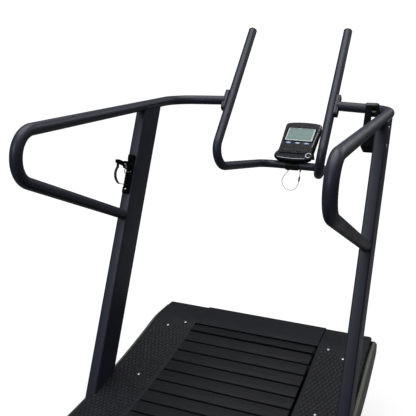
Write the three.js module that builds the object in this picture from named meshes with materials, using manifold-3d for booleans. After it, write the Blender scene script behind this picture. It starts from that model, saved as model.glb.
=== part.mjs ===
// Curved manual treadmill: a slatted belt runs over guide rollers along two curved side frames.
// Millimetres. +X is the user's right, +Y is towards the console, +Z is up, z = 0 is the floor.
import * as THREE from "three";
import { mergeVertices } from "three/addons/utils/BufferGeometryUtils.js";
import Module from "manifold-3d";

const wasm = await Module();
wasm.setup();

// ---------- driving dimensions ----------
const GAP = 0.3; // clearance between touching pieces

const CURVE = { y: -260, z: 208, radius: 3350 }; // running surface: lowest point and radius
const DECK_FRONT = 640;
const DECK_REAR = -1147.9;
const BELT_HALF_WIDTH = 240;
const BELT_END_REACH = 680; // the belt meets its pulleys this far from the lowest point
const BELT_WRAP_RADIUS = 90; // pulley axis to slat top
const BELT_SAG = 8;
const SLAT_COUNT = 55;
const SLAT_GAP = 7;
const SLAT_THICKNESS = 18;
const SLAT_TAPER = 5; // each side of a slat draws in by this at its foot, so that slats clear on a pulley
const CARRIER_THICKNESS = 8;
const PULLEY_FACE = { inner: 195, outer: 225 };

const COVER_REACH = 726; // the visible belt ends this far from the lowest point
const COVER_HALF_WIDTH = 246;
const COVER_THICKNESS = 4;
const COVER_DROP = 4; // below the belt's curve, so that a cover stands just proud of the foot-rests
const FOOTREST = { inner: 247.5, outer: 424, drop: 8, skin: 4, flange: 34, innerFlange: 13 };
const FAIRING = { lip: 429.5, wall: 441.5, outer: 445.5, step: 16, low: 150, flare: 590, cornerRadius: 28 };
const FAIRING_SHELF = { edge: 424.3, top: 15, bottom: 18 }; // closes the groove beside the foot-rest
// The fairing's lower edge rises as a shallow parabola and bows up again towards the ends.
const FAIRING_SKIRT = { parabola: 23700, bow: 50, bowRun: 300, belowDeck: 52, belowTop: 24 };
const CORNER_LIMIT = 22; // a deck corner's draw is flattened off past this
const COVER_LEVELLING = 60; // run over which the covers level off past the visible belt
const COVER_CHIN = { brow: 14, back: 22, drop: 50, tuck: 62, low: 30 }; // a cover's turned-under end
const UPRIGHT_CLEARANCE = { footrest: 1.2, fairing: 0.6 };
const DECK_LEVELS = [100, 330]; // the deck's covers lie between these heights
const LOWER_RAIL_LEVELS = [600, 1000]; // the lower rail's end meets the upright between these
const NOSE_RADIUS = 30;

const UPRIGHT = { x: 421.6, width: 38, depth: 124, lean: 0.4348, footY: -122.6, wall: 3, corner: 6 };
const UPRIGHT_BOTTOM = 45.3;
const UPRIGHT_TOP = 1138;

const RAIL = { radius: 17.5, wall: 2.5, endX: 226.5 };
const RAIL_ROUTE = [[226, 692.8, 1145.6], [421.5, 645.4, 1143.5], [409.3, -339.4, 1143.9],
  [409.3, -350.7, 1021.6], [421.5, 270, 756.8]];
const RAIL_BENDS = [110, 72, 72];

const HANDLEBAR = { radius: 17, wall: 2.5 };
const ARM_TIP = [196.8, 937.8, 1408.8];
const ARM_FOOT = [201.7, 489.5, 916.9];
const CROSS_BAR = [132, 945, 857.5];
const HANDLEBAR_BENDS = [63, 62];
const JOINT_PLATE = { inner: 209, y: 696.5, z: 1145.6, length: 92, width: 30, thickness: 5.2, lean: 42.7 };

const PULLEY = { radius: 62.5, hub: 24, bore: 12.8, rim: 8 };
const AXLE_RADIUS = 12.5;
const AXLE_HALF_LENGTH = 288;
const SIDE_PLATE = { inner: 256, outer: 262, rest: 5.5, axleHole: 16 };
const HOUSING = { depth: 20, half: 32, oneWayBore: 24.4 };
const ROLLER = { radius: 18, bore: 8.4, stud: 8, shoulder: 14 };
const ROLLER_OFFSETS = [-350, 350]; // along the deck from the lowest point
const ONE_WAY_SECTION = [[13.2, -281], [23.8, -281], [23.8, -264], [13.2, -264]]; // radius, x
const SENSOR = { back: 70, half: 8, inner: 236, below: 24, above: 6 };
const BASE_RAIL = { inner: 252, outer: 292, bottom: 45.3, top: 93, rear: -1080, front: 556, wall: 3 };
const CROSS_TUBES = { front: 490, rear: -1010, bottom: 50, top: 78, halfDepth: 20 };
const OUTRIGGER = { bottom: 15, top: 45 };
const FOOT_Y = [-1000, 480];
const FOOT = { pad: 26, stem: 6, bore: 6.6, rise: 30 };
const WHEEL = { y: 590, z: 38, radius: 34, pin: 7.7, bore: 8 };

const CONSOLE = { y: 950, z: 911.5, tilt: 31 };
const CONSOLE_OUTLINE = [[52, -34], [80, -24], [83, -10], [79, 10], [78.5, 60], [81, 192]];
const LCD = { halfWidth: 59.5, low: 81, high: 164 };
const CONSOLE_DEPTH = { split: -7, back: -58, topBack: -33, slimBack: -24, wall: 3 }; // below the face
const CONSOLE_SLIM_END = 22; // the tray is slim below this height on the face
const CONSOLE_CUTTER = { half: 100, length: 260, depth: 60 }; // larger than the console each way
const BUTTONS = { spacing: 40, along: 62.5, halfWidth: 13, halfHeight: 7 };

// The sensor lead's route, chosen by hand: down from the left grommet, round and up to the connector.
const LEAD_RADIUS = 1.4;
const LEAD_ROUTE = [[-20, 945, 832.8], [-22, 945, 827], [-30.5, 945, 818], [-38.5, 945, 807],
  [-43.5, 945, 796], [-45, 945, 784], [-43, 945, 773], [-37.5, 945, 762.5], [-29, 945, 754],
  [-17.5, 945, 748.8], [-5, 945, 747.6], [7, 945, 751.5], [17, 945, 760], [24, 945, 771],
  [28, 945, 783], [29.1, 945, 788]];
const LEAD_CONNECTOR = { low: [29.2, 945, 788.3], high: [31.7, 945, 812.3], radius: 3.6 };
const LEAD_TAIL = { low: [31.8, 945, 812.7], high: [33.5, 945, 832.9] };
const GROMMET = { radius: 4.5, bottom: 833.5, left: -20, right: 33.5 };

// Bottle cage, in a frame standing on the right upright's inner face.
const CAGE = { back: -1.8, front: -42, near: -32, far: 48, wall: 5, corner: 8 };
const CAGE_PLATE = { thickness: 6, half: 12, boss: 8 };
const CAGE_LEVELS = { bottom: -60, floor: -46, rim: 66, top: 84 };
const CAGE_POST_WIDTH = 22;
const CAGE_BOLTS = { across: -20, heights: [-52, 8] };
const CAGE_HEIGHT = 1100;

// Strap holder, in a frame standing on the left upright's rear face.
const STRAP = { low: -70, high: 68, depth: 12, footTop: -52, headLow: 50 };
const STRAP_CLAMP = { low: 14, high: 38, reach: -46, pin: [-36, 26] };
const STRAP_ARM = { low: 18.5, high: 32, reach: -103, halfWidth: 7.5 };
const STRAP_WEBBING = { halfWidth: 5, halfThickness: 1.25 };
const STRAP_RING = { inner: 6, outer: 9, half: 3, y: -34, z: 4.6 };
const STRAP_ROUTE = [[0, -95, 16.8], [0, -91, 5], [0, -119, -14], [0, -72, -48], [0, -36, -43],
  [0, -13.5, -40]];
const STRAP_BENDS = [8, 26, 40, 60];
const STRAP_HEIGHT = 912;

const ROUND = 12; // sides of a round tube

// ---------- materials ----------
function paint(color, roughness, metalness) {
  return new THREE.MeshStandardMaterial({ color, roughness, metalness });
}

const POWDER_BLACK = paint(0x1d1f27, 0.5, 0.4);
const FRAME_BLACK = paint(0x17181b, 0.6, 0.4);
const DECK_PLASTIC = paint(0x202225, 0.7, 0);
const FAIRING_GREY = paint(0x3a3b38, 0.45, 0);
const SLAT_RUBBER = paint(0x1e1f23, 0.8, 0);
const STEEL = paint(0xb5b7ba, 0.3, 1);
const BLACK_PLASTIC = paint(0x111113, 0.5, 0);
const CONSOLE_PLASTIC = paint(0x26272c, 0.45, 0);
const LCD_GLASS = paint(0x84a397, 0.2, 0);
const BUTTON_BLUE = paint(0x6d86b4, 0.35, 0.2);
const RUBBER = paint(0x0f0f10, 0.85, 0);
const LEAD_WHITE = paint(0xd9d9d6, 0.4, 0);
const GREY_NYLON = paint(0x5a5c60, 0.6, 0);
const STRAP_WEB = paint(0x18181a, 0.9, 0);

// ---------- solids ----------
function solidOf(geometry) {
  const bare = geometry.clone();
  bare.deleteAttribute("normal");
  bare.deleteAttribute("uv");
  const merged = mergeVertices(bare, 1e-4);
  const triVerts = new Uint32Array(merged.index.array);
  const vertProperties = merged.attributes.position.array;
  return new wasm.Manifold(new wasm.Mesh({ numProp: 3, vertProperties, triVerts }));
}

function geometryOf(solid) {
  const mesh = solid.getMesh();
  const geometry = new THREE.BufferGeometry();
  geometry.setAttribute("position", new THREE.BufferAttribute(mesh.vertProperties, 3));
  geometry.setIndex(new THREE.BufferAttribute(mesh.triVerts, 1));
  geometry.computeVertexNormals();
  return geometry;
}

function join(...geometries) {
  return geometryOf(geometries.map(solidOf).reduce((sum, next) => sum.add(next)));
}

function cut(body, ...tools) {
  return geometryOf(tools.map(solidOf).reduce((rest, tool) => rest.subtract(tool), solidOf(body)));
}

function box(lowX, highX, lowY, highY, lowZ, highZ) {
  const geometry = new THREE.BoxGeometry(highX - lowX, highY - lowY, highZ - lowZ);
  return geometry.translate((lowX + highX) / 2, (lowY + highY) / 2, (lowZ + highZ) / 2);
}

// A cylinder along X between two x values, its axis at (y, z).
function rodX(radius, lowX, highX, y, z, sides = ROUND) {
  const geometry = new THREE.CylinderGeometry(radius, radius, Math.abs(highX - lowX), sides);
  return geometry.rotateZ(Math.PI / 2).translate((lowX + highX) / 2, y, z);
}

function rodZ(radius, x, y, lowZ, highZ, sides = ROUND) {
  const geometry = new THREE.CylinderGeometry(radius, radius, highZ - lowZ, sides);
  return geometry.rotateX(Math.PI / 2).translate(x, y, (lowZ + highZ) / 2);
}

// A ring of revolution about X. The profile's points are (radius, x) and close on themselves.
function ringX(profile, y, z, sides = 20) {
  const points = [...profile, profile[0]].map(([radius, x]) => new THREE.Vector2(radius, x));
  const geometry = new THREE.LatheGeometry(points, sides);
  return outward(geometry.rotateZ(-Math.PI / 2).translate(0, y, z));
}

// Turns a closed skin inside out if its faces point in.
function outward(geometry) {
  geometry.deleteAttribute("uv");
  geometry.deleteAttribute("normal");
  const merged = mergeVertices(geometry, 1e-4);
  const at = merged.attributes.position;
  const index = merged.index.array;
  const [a, b, c] = [new THREE.Vector3(), new THREE.Vector3(), new THREE.Vector3()];
  let volume = 0;
  for (let i = 0; i < index.length; i += 3) {
    a.fromBufferAttribute(at, index[i]);
    b.fromBufferAttribute(at, index[i + 1]);
    c.fromBufferAttribute(at, index[i + 2]);
    volume += a.dot(b.cross(c));
  }
  if (volume < 0) {
    for (let i = 0; i < index.length; i += 3) {
      [index[i + 1], index[i + 2]] = [index[i + 2], index[i + 1]];
    }
  }
  merged.computeVertexNormals();
  return merged;
}

// A flat shape with its outline anticlockwise, as the extrusion needs when there are holes.
function shapeOf(points, ...holes) {
  const vectors = (list) => list.map(([x, y]) => new THREE.Vector2(x, y));
  const outline = vectors(points);
  if (THREE.ShapeUtils.isClockWise(outline)) outline.reverse();
  const shape = new THREE.Shape(outline);
  shape.holes = holes.map((hole) => new THREE.Path(vectors(hole)));
  return shape;
}

function slab(depth, outline, holes) {
  return new THREE.ExtrudeGeometry(shapeOf(outline, ...holes), { depth, bevelEnabled: false });
}

// A flat outline in Y and Z, extruded along X between two x values.
function plateX(outline, lowX, highX, ...holes) {
  const geometry = slab(highX - lowX, outline, holes);
  geometry.rotateX(Math.PI / 2).rotateZ(Math.PI / 2);
  return geometry.translate(lowX, 0, 0);
}

function plateZ(outline, lowZ, highZ, ...holes) {
  return slab(highZ - lowZ, outline, holes).translate(0, 0, lowZ);
}

function circle(radius, sides, [x, y] = [0, 0]) {
  return Array.from({ length: sides }, (_, i) => {
    const angle = (2 * Math.PI * (i + 0.5)) / sides;
    return [x + radius * Math.cos(angle), y + radius * Math.sin(angle)];
  });
}

function roundedRect(lowX, highX, lowY, highY, radius, steps = 2) {
  const corners = [[highX - radius, highY - radius], [lowX + radius, highY - radius],
    [lowX + radius, lowY + radius], [highX - radius, lowY + radius]];
  return corners.flatMap(([x, y], quarter) => Array.from({ length: steps + 1 }, (_, i) => {
    const angle = (Math.PI / 2) * (quarter + i / steps);
    return [x + radius * Math.cos(angle), y + radius * Math.sin(angle)];
  }));
}

// A path whose steps fall exactly on its stations, so that straight runs take one step each.
class StationPath extends THREE.Curve {
  constructor(stations) {
    super();
    this.stations = stations;
  }

  getPoint(t) {
    return this.stations[Math.round(t * (this.stations.length - 1))].point.clone();
  }

  getTangent(t) {
    return this.stations[Math.round(t * (this.stations.length - 1))].tangent.clone();
  }

  getUtoTmapping(u) {
    return u;
  }
}

// Straight runs between the route's points, with an arc of the given radius at each inner point.
function bentPath(route, radii, degreesPerStep = 15) {
  const points = route.map((p) => new THREE.Vector3(...p));
  const directions = points.slice(1).map((p, i) => p.clone().sub(points[i]).normalize());
  const stations = [{ point: points[0], tangent: directions[0] }];
  radii.forEach((radius, i) => {
    const [before, after] = [directions[i], directions[i + 1]];
    const turn = before.angleTo(after);
    const axis = before.clone().cross(after).normalize();
    const start = points[i + 1].clone().addScaledVector(before, -radius * Math.tan(turn / 2));
    const centre = start.clone().addScaledVector(axis.clone().cross(before), radius);
    const steps = Math.max(2, Math.round((turn * 180) / Math.PI / degreesPerStep));
    for (let k = 0; k <= steps; k += 1) {
      const angle = (turn * k) / steps;
      const arm = start.clone().sub(centre).applyAxisAngle(axis, angle);
      const tangent = before.clone().applyAxisAngle(axis, angle);
      stations.push({ point: centre.clone().add(arm), tangent });
    }
  });
  stations.push({ point: points.at(-1), tangent: directions.at(-1) });
  return new StationPath(stations);
}

function sweep(shape, path) {
  return new THREE.ExtrudeGeometry(shape, { extrudePath: path, steps: path.stations.length - 1 });
}

function roundTube(route, radii, radius, wall) {
  const shape = shapeOf(circle(radius, ROUND), circle(radius - wall, 6));
  return sweep(shape, bentPath(route, radii));
}

function roundBar(route, radii, radius, sides = ROUND) {
  return sweep(shapeOf(circle(radius, sides)), bentPath(route, radii));
}

// A closed skin through outlines in X and Z, each at its own y, with flat ends.
function loftAlongY(sections) {
  const count = sections[0].outline.length;
  const corners = sections.flatMap(({ y, outline }) => outline.map(([x, z]) => [x, y, z]));
  const faces = [];
  for (let s = 0; s + 1 < sections.length; s += 1) {
    for (let i = 0; i < count; i += 1) {
      const [a, b] = [s * count + i, s * count + ((i + 1) % count)];
      faces.push(a, b, b + count, a, b + count, a + count);
    }
  }
  for (const s of [0, sections.length - 1]) {
    const flat = sections[s].outline.map(([x, z]) => new THREE.Vector2(x, z));
    const flip = (s === 0) !== THREE.ShapeUtils.isClockWise(flat);
    for (const [a, b, c] of THREE.ShapeUtils.triangulateShape(flat, [])) {
      const cap = flip ? [c, b, a] : [a, b, c];
      faces.push(...cap.map((corner) => corner + s * count));
    }
  }
  const geometry = new THREE.BufferGeometry();
  geometry.setAttribute("position", new THREE.Float32BufferAttribute(corners.flat(), 3));
  geometry.setIndex(faces);
  return outward(geometry);
}

function mirrorX(geometry) {
  return outward(geometry.clone().scale(-1, 1, 1));
}

const treadmill = new THREE.Group();

function add(name, geometry, material, parent = treadmill) {
  const mesh = new THREE.Mesh(geometry, material);
  mesh.name = name;
  parent.add(mesh);
  return mesh;
}

// Adds the right-hand piece and its mirror image.
function addPair(name, geometry, material) {
  add(`${name}_right`, geometry, material);
  add(`${name}_left`, mirrorX(geometry), material);
}

// ---------- the deck's curve ----------
const beltHeight = (y) => CURVE.z + CURVE.radius - Math.sqrt(CURVE.radius ** 2 - (y - CURVE.y) ** 2);
const beltSlope = (y) => (y - CURVE.y) / Math.sqrt(CURVE.radius ** 2 - (y - CURVE.y) ** 2);

// Top of the covers: the belt's curve less a drop, levelled off past the visible belt and
// rounded down at the two ends.
function coverHeight(y, drop) {
  const offset = Math.abs(y - CURVE.y);
  const past = Math.max(0, offset - COVER_REACH);
  const along = CURVE.y + Math.min(offset, COVER_REACH);
  const run = Math.min(past, COVER_LEVELLING);
  const rise = beltSlope(along) * (run - run ** 2 / (2 * COVER_LEVELLING));
  let z = beltHeight(along) - drop + rise;
  const end = y > CURVE.y ? DECK_FRONT - y : y - DECK_REAR;
  if (end < NOSE_RADIUS) z -= NOSE_RADIUS - Math.sqrt(NOSE_RADIUS ** 2 - (NOSE_RADIUS - end) ** 2);
  return z;
}

const NOSE_STEPS = [0, 1.5, 6, 14, NOSE_RADIUS];

// Stations along the deck: wide apart on the gentle curve and close together at the noses.
const DECK_STATIONS = (() => {
  const rear = [...NOSE_STEPS, 60].map((step) => DECK_REAR + step);
  const front = [95, 60, ...[...NOSE_STEPS].reverse()].map((step) => DECK_FRONT - step);
  const steps = 15;
  const [first, last] = [CURVE.y - COVER_REACH, CURVE.y + COVER_REACH];
  const middle = Array.from({ length: steps + 1 }, (_, i) => first + ((last - first) * i) / steps);
  return [...rear, ...middle, ...front];
})();

// How far the outer edge draws in at a rounded deck corner.
function cornerDraw(y) {
  const past = FAIRING.cornerRadius - Math.min(DECK_FRONT - y, y - DECK_REAR);
  if (past <= 0) return 0;
  return FAIRING.cornerRadius - Math.sqrt(FAIRING.cornerRadius ** 2 - Math.min(past, CORNER_LIMIT) ** 2);
}

// The deck's height where the noses begin, held level over the noses themselves.
function heightShortOfNose(y, drop) {
  return coverHeight(Math.min(Math.max(y, DECK_REAR + NOSE_RADIUS), DECK_FRONT - NOSE_RADIUS), drop);
}

// ---------- belt loop ----------
// The loop of slat tops: top curve, front wrap, sagging return run and rear wrap.
const WHEEL_TILT = Math.asin(BELT_END_REACH / CURVE.radius);
const PULLEY_Y = BELT_END_REACH + BELT_WRAP_RADIUS * Math.sin(WHEEL_TILT);
const PULLEY_Z = beltHeight(CURVE.y + BELT_END_REACH) - BELT_WRAP_RADIUS * Math.cos(WHEEL_TILT);
const AXLES = { front: CURVE.y + PULLEY_Y, rear: CURVE.y - PULLEY_Y };
const LOOP_STEPS = 200;

function beltLoop() {
  const sagTilt = (4 * BELT_SAG) / (2 * PULLEY_Y);
  const reach = PULLEY_Y + BELT_WRAP_RADIUS * Math.sin(sagTilt);
  const low = PULLEY_Z - BELT_WRAP_RADIUS * Math.cos(sagTilt);
  const down = -Math.PI / 2;
  const sampled = (place) => Array.from({ length: LOOP_STEPS }, (_, i) => place(i / LOOP_STEPS));
  const arc = (y, z, radius, from, to) => sampled((t) => {
    const angle = from + (to - from) * t;
    return [y + radius * Math.cos(angle), z + radius * Math.sin(angle)];
  });
  return [
    ...arc(CURVE.y, CURVE.z + CURVE.radius, CURVE.radius, down - WHEEL_TILT, down + WHEEL_TILT),
    ...arc(AXLES.front, PULLEY_Z, BELT_WRAP_RADIUS, Math.PI / 2 + WHEEL_TILT, down + sagTilt),
    ...sampled((t) => [CURVE.y + reach * (1 - 2 * t), low - 4 * BELT_SAG * t * (1 - t)]),
    ...arc(AXLES.rear, PULLEY_Z, BELT_WRAP_RADIUS, down - sagTilt, down - Math.PI - WHEEL_TILT),
  ];
}

// Evenly spaced points round the loop, each with its inward direction.
function spacedLoop(count, shift) {
  const loop = beltLoop();
  const after = (i) => loop[(i + 1) % loop.length];
  const lengths = loop.map(([y, z], i) => Math.hypot(after(i)[0] - y, after(i)[1] - z));
  const total = lengths.reduce((sum, length) => sum + length, 0);
  return Array.from({ length: count }, (_, k) => {
    let rest = (((k + shift) / count) * total) % total;
    let i = 0;
    while (rest > lengths[i]) {
      rest -= lengths[i];
      i += 1;
    }
    const [a, b] = [loop[i], after(i)];
    const [dy, dz] = [(b[0] - a[0]) / lengths[i], (b[1] - a[1]) / lengths[i]];
    return { y: a[0] + dy * rest, z: a[1] + dz * rest, inY: dz, inZ: -dy, pitch: total / count };
  });
}

// The slats and the carrier behind them, as one toothed outline across the belt's full width.
function slatBelt() {
  const phase = 0.75; // sets a slat's edge at the front cover's edge
  const outer = [];
  const inner = [];
  for (const { y, z, inY, inZ, pitch } of spacedLoop(SLAT_COUNT, phase)) {
    const half = (pitch - SLAT_GAP) / 2;
    const place = (along, depth) => [y - inZ * along + inY * depth, z + inY * along + inZ * depth];
    const foot = half - SLAT_TAPER;
    outer.push(place(-foot, SLAT_THICKNESS), place(-half, 0), place(half, 0), place(foot, SLAT_THICKNESS));
    const back = SLAT_THICKNESS + CARRIER_THICKNESS;
    inner.push(place(-pitch / 5, back), place(pitch / 5, back));
  }
  return outward(plateX(outer, -BELT_HALF_WIDTH, BELT_HALF_WIDTH, inner));
}

// ---------- frame ----------
// The upright is a straight tube, leaned forward, with level ends.
function leaned(outline, low, high, ...holes) {
  const lean = new THREE.Matrix4().set(1, 0, 0, 0, 0, 1, UPRIGHT.lean, 0, 0, 0, 1, 0, 0, 0, 0, 1);
  return plateZ(outline, low, high, ...holes).applyMatrix4(lean);
}

function uprightOutline(grow) {
  const { x, width, depth, footY, corner } = UPRIGHT;
  const half = width / 2 + grow;
  return roundedRect(x - half, x + half, footY - grow, footY + depth + grow, corner + grow);
}

function upright() {
  const tube = leaned(uprightOutline(0), UPRIGHT_BOTTOM, UPRIGHT_TOP, uprightOutline(-UPRIGHT.wall));
  return cut(tube, roundBar(RAIL_ROUTE, RAIL_BENDS, RAIL.radius + GAP));
}

function handrail() {
  const tube = roundTube(RAIL_ROUTE, RAIL_BENDS, RAIL.radius, RAIL.wall);
  const { y, z, length } = JOINT_PLATE;
  const beyondPlate = box(0, RAIL.endX, y - length, y + length, z - length, z + length);
  const clear = leaned(uprightOutline(GAP), ...LOWER_RAIL_LEVELS);
  const plate = jointPlate(RAIL.endX - JOINT_PLATE.thickness, RAIL.endX + 0.2);
  return join(cut(tube, beyondPlate, clear), plate);
}

function jointPlate(lowX, highX) {
  const { y, z, length, width, lean } = JOINT_PLATE;
  const outline = roundedRect(-width / 2, width / 2, -length / 2, length / 2, 8);
  const plate = plateX(outline, lowX, highX);
  return plate.rotateX(-THREE.MathUtils.degToRad(lean)).translate(0, y, z);
}

function handlebar() {
  const half = [ARM_TIP, ARM_FOOT, CROSS_BAR];
  const route = [...half, ...half.map(([x, y, z]) => [-x, y, z]).reverse()];
  const bends = [...HANDLEBAR_BENDS, ...[...HANDLEBAR_BENDS].reverse()];
  const tube = roundTube(route, bends, HANDLEBAR.radius, HANDLEBAR.wall);
  const bore = roundBar(route, bends, HANDLEBAR.radius - HANDLEBAR.wall, 6);
  const plate = cut(jointPlate(JOINT_PLATE.inner, RAIL.endX - JOINT_PLATE.thickness - GAP), bore);
  return join(tube, plate, mirrorX(plate));
}

// A domed plastic cap whose plug sits inside the arm's open end.
function armCap() {
  const [plug, rim] = [HANDLEBAR.radius - HANDLEBAR.wall - 2.6, HANDLEBAR.radius];
  const plugEnd = [[0, -14], [plug, -14], [plug, GAP]];
  const dome = [[rim, GAP], [rim, 5], [rim * 0.8, 9], [rim * 0.4, 11], [0, 11.6]];
  const profile = [...plugEnd, ...dome];
  const cap = new THREE.LatheGeometry(profile.map(([r, h]) => new THREE.Vector2(r, h)), ROUND);
  const along = new THREE.Vector3(...ARM_TIP).sub(new THREE.Vector3(...ARM_FOOT)).normalize();
  const turn = new THREE.Quaternion().setFromUnitVectors(new THREE.Vector3(0, 1, 0), along);
  return outward(cap.applyQuaternion(turn).translate(...ARM_TIP));
}

const rollerPlace = (offset) => {
  const y = CURVE.y + offset;
  const depth = SLAT_THICKNESS + CARRIER_THICKNESS + ROLLER.radius + 1;
  const tilt = Math.asin(offset / CURVE.radius);
  return { y: y - depth * Math.sin(tilt), z: beltHeight(y) - depth * Math.cos(tilt) };
};

// Curved steel side plate with the guide rollers' studs and holes for the two axles.
function sideFrame() {
  const [rear, front] = [CURVE.y - COVER_REACH, CURVE.y + COVER_REACH];
  const ys = DECK_STATIONS.filter((y) => y >= rear && y <= front);
  const top = ys.map((y) => [y, coverHeight(y, FOOTREST.drop) - SIDE_PLATE.rest]);
  const bottom = [[front, BASE_RAIL.top + GAP], [rear, BASE_RAIL.top + GAP]];
  const holes = [AXLES.rear, AXLES.front].map((y) => circle(SIDE_PLATE.axleHole, 12, [y, PULLEY_Z]));
  const plate = outward(plateX([...top, ...bottom], SIDE_PLATE.inner, SIDE_PLATE.outer, ...holes));
  const studs = ROLLER_OFFSETS.map((offset) => {
    const { y, z } = rollerPlace(offset);
    return join(rodX(ROLLER.stud, PULLEY_FACE.inner + 2, SIDE_PLATE.inner + 1, y, z),
      rodX(ROLLER.shoulder, PULLEY_FACE.outer + 6, SIDE_PLATE.inner + 1, y, z));
  });
  return join(plate, ...studs);
}

// Longitudinal box tube with two cheeks at its front end that hold a transport wheel on a pin.
function baseRail() {
  const { inner, outer, bottom, top, rear, front, wall } = BASE_RAIL;
  const tube = box(inner, outer, rear, front, bottom, top);
  const hollow = box(inner + wall, outer - wall, rear - 1, front - wall, bottom + wall, top - wall);
  const feet = FOOT_Y.map((y) => rodZ(FOOT.bore, (inner + outer) / 2, y, bottom - 1, top - wall - 1));
  const cheekOutline = [[front - 20, top - 2], [front - 20, 40], [WHEEL.y - 8, 20], [WHEEL.y + 12, 22],
    [WHEEL.y + 14, 62], [front, top - 2]];
  const cheekSpans = [[inner, inner + 4], [outer - 4, outer]];
  const cheeks = cheekSpans.map(([low, high]) => outward(plateX(cheekOutline, low, high)));
  const pin = rodX(WHEEL.pin, inner + 1, outer - 1, WHEEL.y, WHEEL.z);
  return join(cut(tube, hollow, ...feet), ...cheeks, pin);
}

// A pulley dished on its outer side, so that the rim overhangs the web.
function pulley() {
  const { radius, hub, bore, rim } = PULLEY;
  const [low, high] = [PULLEY_FACE.inner, PULLEY_FACE.outer];
  const middle = (low + high) / 2;
  const profile = [[bore, low], [radius, low], [radius, high], [radius - rim, high], [radius - rim, middle],
    [hub, middle], [hub, high], [bore, high]];
  return (y) => ringX(profile, y, PULLEY_Z, 18);
}

function bearingHousing(y, bore) {
  const { depth, half } = HOUSING;
  const { outer } = SIDE_PLATE;
  const block = box(outer + GAP, outer + depth, y - half, y + half, PULLEY_Z - half, PULLEY_Z + half);
  return cut(block, rodX(bore, outer - 1, outer + depth + 1, y, PULLEY_Z, 16));
}

function levellingFoot() {
  const [x, low] = [(BASE_RAIL.inner + BASE_RAIL.outer) / 2, BASE_RAIL.bottom];
  const { pad, stem, rise } = FOOT;
  const top = low + rise;
  const profile = [[0, 0], [pad - 1, 0], [pad, 10], [11, 18], [stem, 24], [stem, top], [0, top]];
  const foot = new THREE.LatheGeometry(profile.map(([r, h]) => new THREE.Vector2(r, h)), ROUND);
  return (y) => outward(foot.clone().rotateX(Math.PI / 2).translate(x, y, 0));
}

function transportWheel() {
  const { radius, bore, y, z } = WHEEL;
  const [low, high] = [BASE_RAIL.inner + 5.5, BASE_RAIL.outer - 5.5];
  const tread = [[radius - 3, low], [radius, low + 3], [radius, high - 3], [radius - 3, high]];
  return ringX([[bore, low], ...tread, [bore, high]], y, z, 16);
}

// ---------- covers ----------
function footrest() {
  const { inner, outer, drop, skin, flange, innerFlange } = FOOTREST;
  const sections = DECK_STATIONS.map((y) => {
    const z = coverHeight(y, drop);
    const floor = Math.min(z, heightShortOfNose(y, drop)) - flange;
    const edge = outer - cornerDraw(y);
    const short = z - innerFlange;
    const outside = [[inner, short], [inner, z], [edge - 8, z], [edge, z - 6], [edge, floor]];
    const inside = [[edge - skin, floor], [edge - skin, z - 8], [edge - 9, z - skin],
      [inner + skin, z - skin], [inner + skin, short]];
    return { y, outline: [...outside, ...inside] };
  });
  return cut(loftAlongY(sections), leaned(uprightOutline(UPRIGHT_CLEARANCE.footrest), ...DECK_LEVELS));
}

function fairing() {
  const { lip, wall, outer, low, flare } = FAIRING;
  const { edge, top, bottom } = FAIRING_SHELF;
  const { parabola, bow, bowRun, belowDeck, belowTop } = FAIRING_SKIRT;
  const bowed = (along) => bow * Math.max(0, (Math.abs(along) - flare) / bowRun) ** 2;
  const sections = DECK_STATIONS.map((y) => {
    const z = coverHeight(y, FOOTREST.drop) - FAIRING.step;
    const level = heightShortOfNose(y, FOOTREST.drop);
    const along = y - CURVE.y;
    const floor = Math.min(low + along ** 2 / parabola + bowed(along), level - belowDeck, z - belowTop);
    const outside = [[outer, floor], [outer, z - 14], [outer - 4, z - 5], [outer - 12, z]];
    const shelf = [[wall, z - top], [edge, z - top], [edge, z - bottom], [wall, z - bottom]];
    const inside = [[lip, z], [lip, z - 4], [wall, z - 8], ...shelf, [wall, floor]];
    const draw = cornerDraw(y);
    return { y, outline: [...outside, ...inside].map(([x, height]) => [x - draw, height]) };
  });
  return cut(loftAlongY(sections), leaned(uprightOutline(UPRIGHT_CLEARANCE.fairing), ...DECK_LEVELS));
}

// A thin cover bent over one end of the deck: top plate, rounded nose and a tucked-in underside.
function endCover(side) {
  const edge = CURVE.y + side * (COVER_REACH + 3);
  const end = side > 0 ? DECK_FRONT : DECK_REAR;
  const steps = [0, 30, 60, 100].map((step) => edge + side * step);
  const nose = [...NOSE_STEPS].reverse().map((step) => end - side * step);
  const top = [...steps, ...nose].map((y) => [y, coverHeight(y, COVER_DROP)]);
  const brow = top.at(-1)[1];
  const chin = [[end, brow - COVER_CHIN.brow], [end - side * COVER_CHIN.back, brow - COVER_CHIN.drop],
    [end - side * COVER_CHIN.tuck, PULLEY_Z - COVER_CHIN.low]];
  const outer = [...top, ...chin];
  const inner = outer.map(([y, z], i) => offsetInward(outer, i, COVER_THICKNESS, side)).reverse();
  return outward(plateX([...outer, ...inner], -COVER_HALF_WIDTH, COVER_HALF_WIDTH));
}

function offsetInward(line, i, distance, side) {
  const before = line[Math.max(0, i - 1)];
  const after = line[Math.min(line.length - 1, i + 1)];
  const length = Math.hypot(after[0] - before[0], after[1] - before[1]);
  const normal = [(after[1] - before[1]) / length, -(after[0] - before[0]) / length];
  return [line[i][0] + side * distance * normal[0], line[i][1] + side * distance * normal[1]];
}

// ---------- console ----------
const CONSOLE_TOP = 211;
const CONSOLE_ARCH = [[73, 203], [44, 209], [0, CONSOLE_TOP], [-44, 209], [-73, 203]];
const CONSOLE_FACE = [...CONSOLE_OUTLINE, ...CONSOLE_ARCH,
  ...CONSOLE_OUTLINE.map(([x, y]) => [-x, y]).reverse()];

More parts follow.
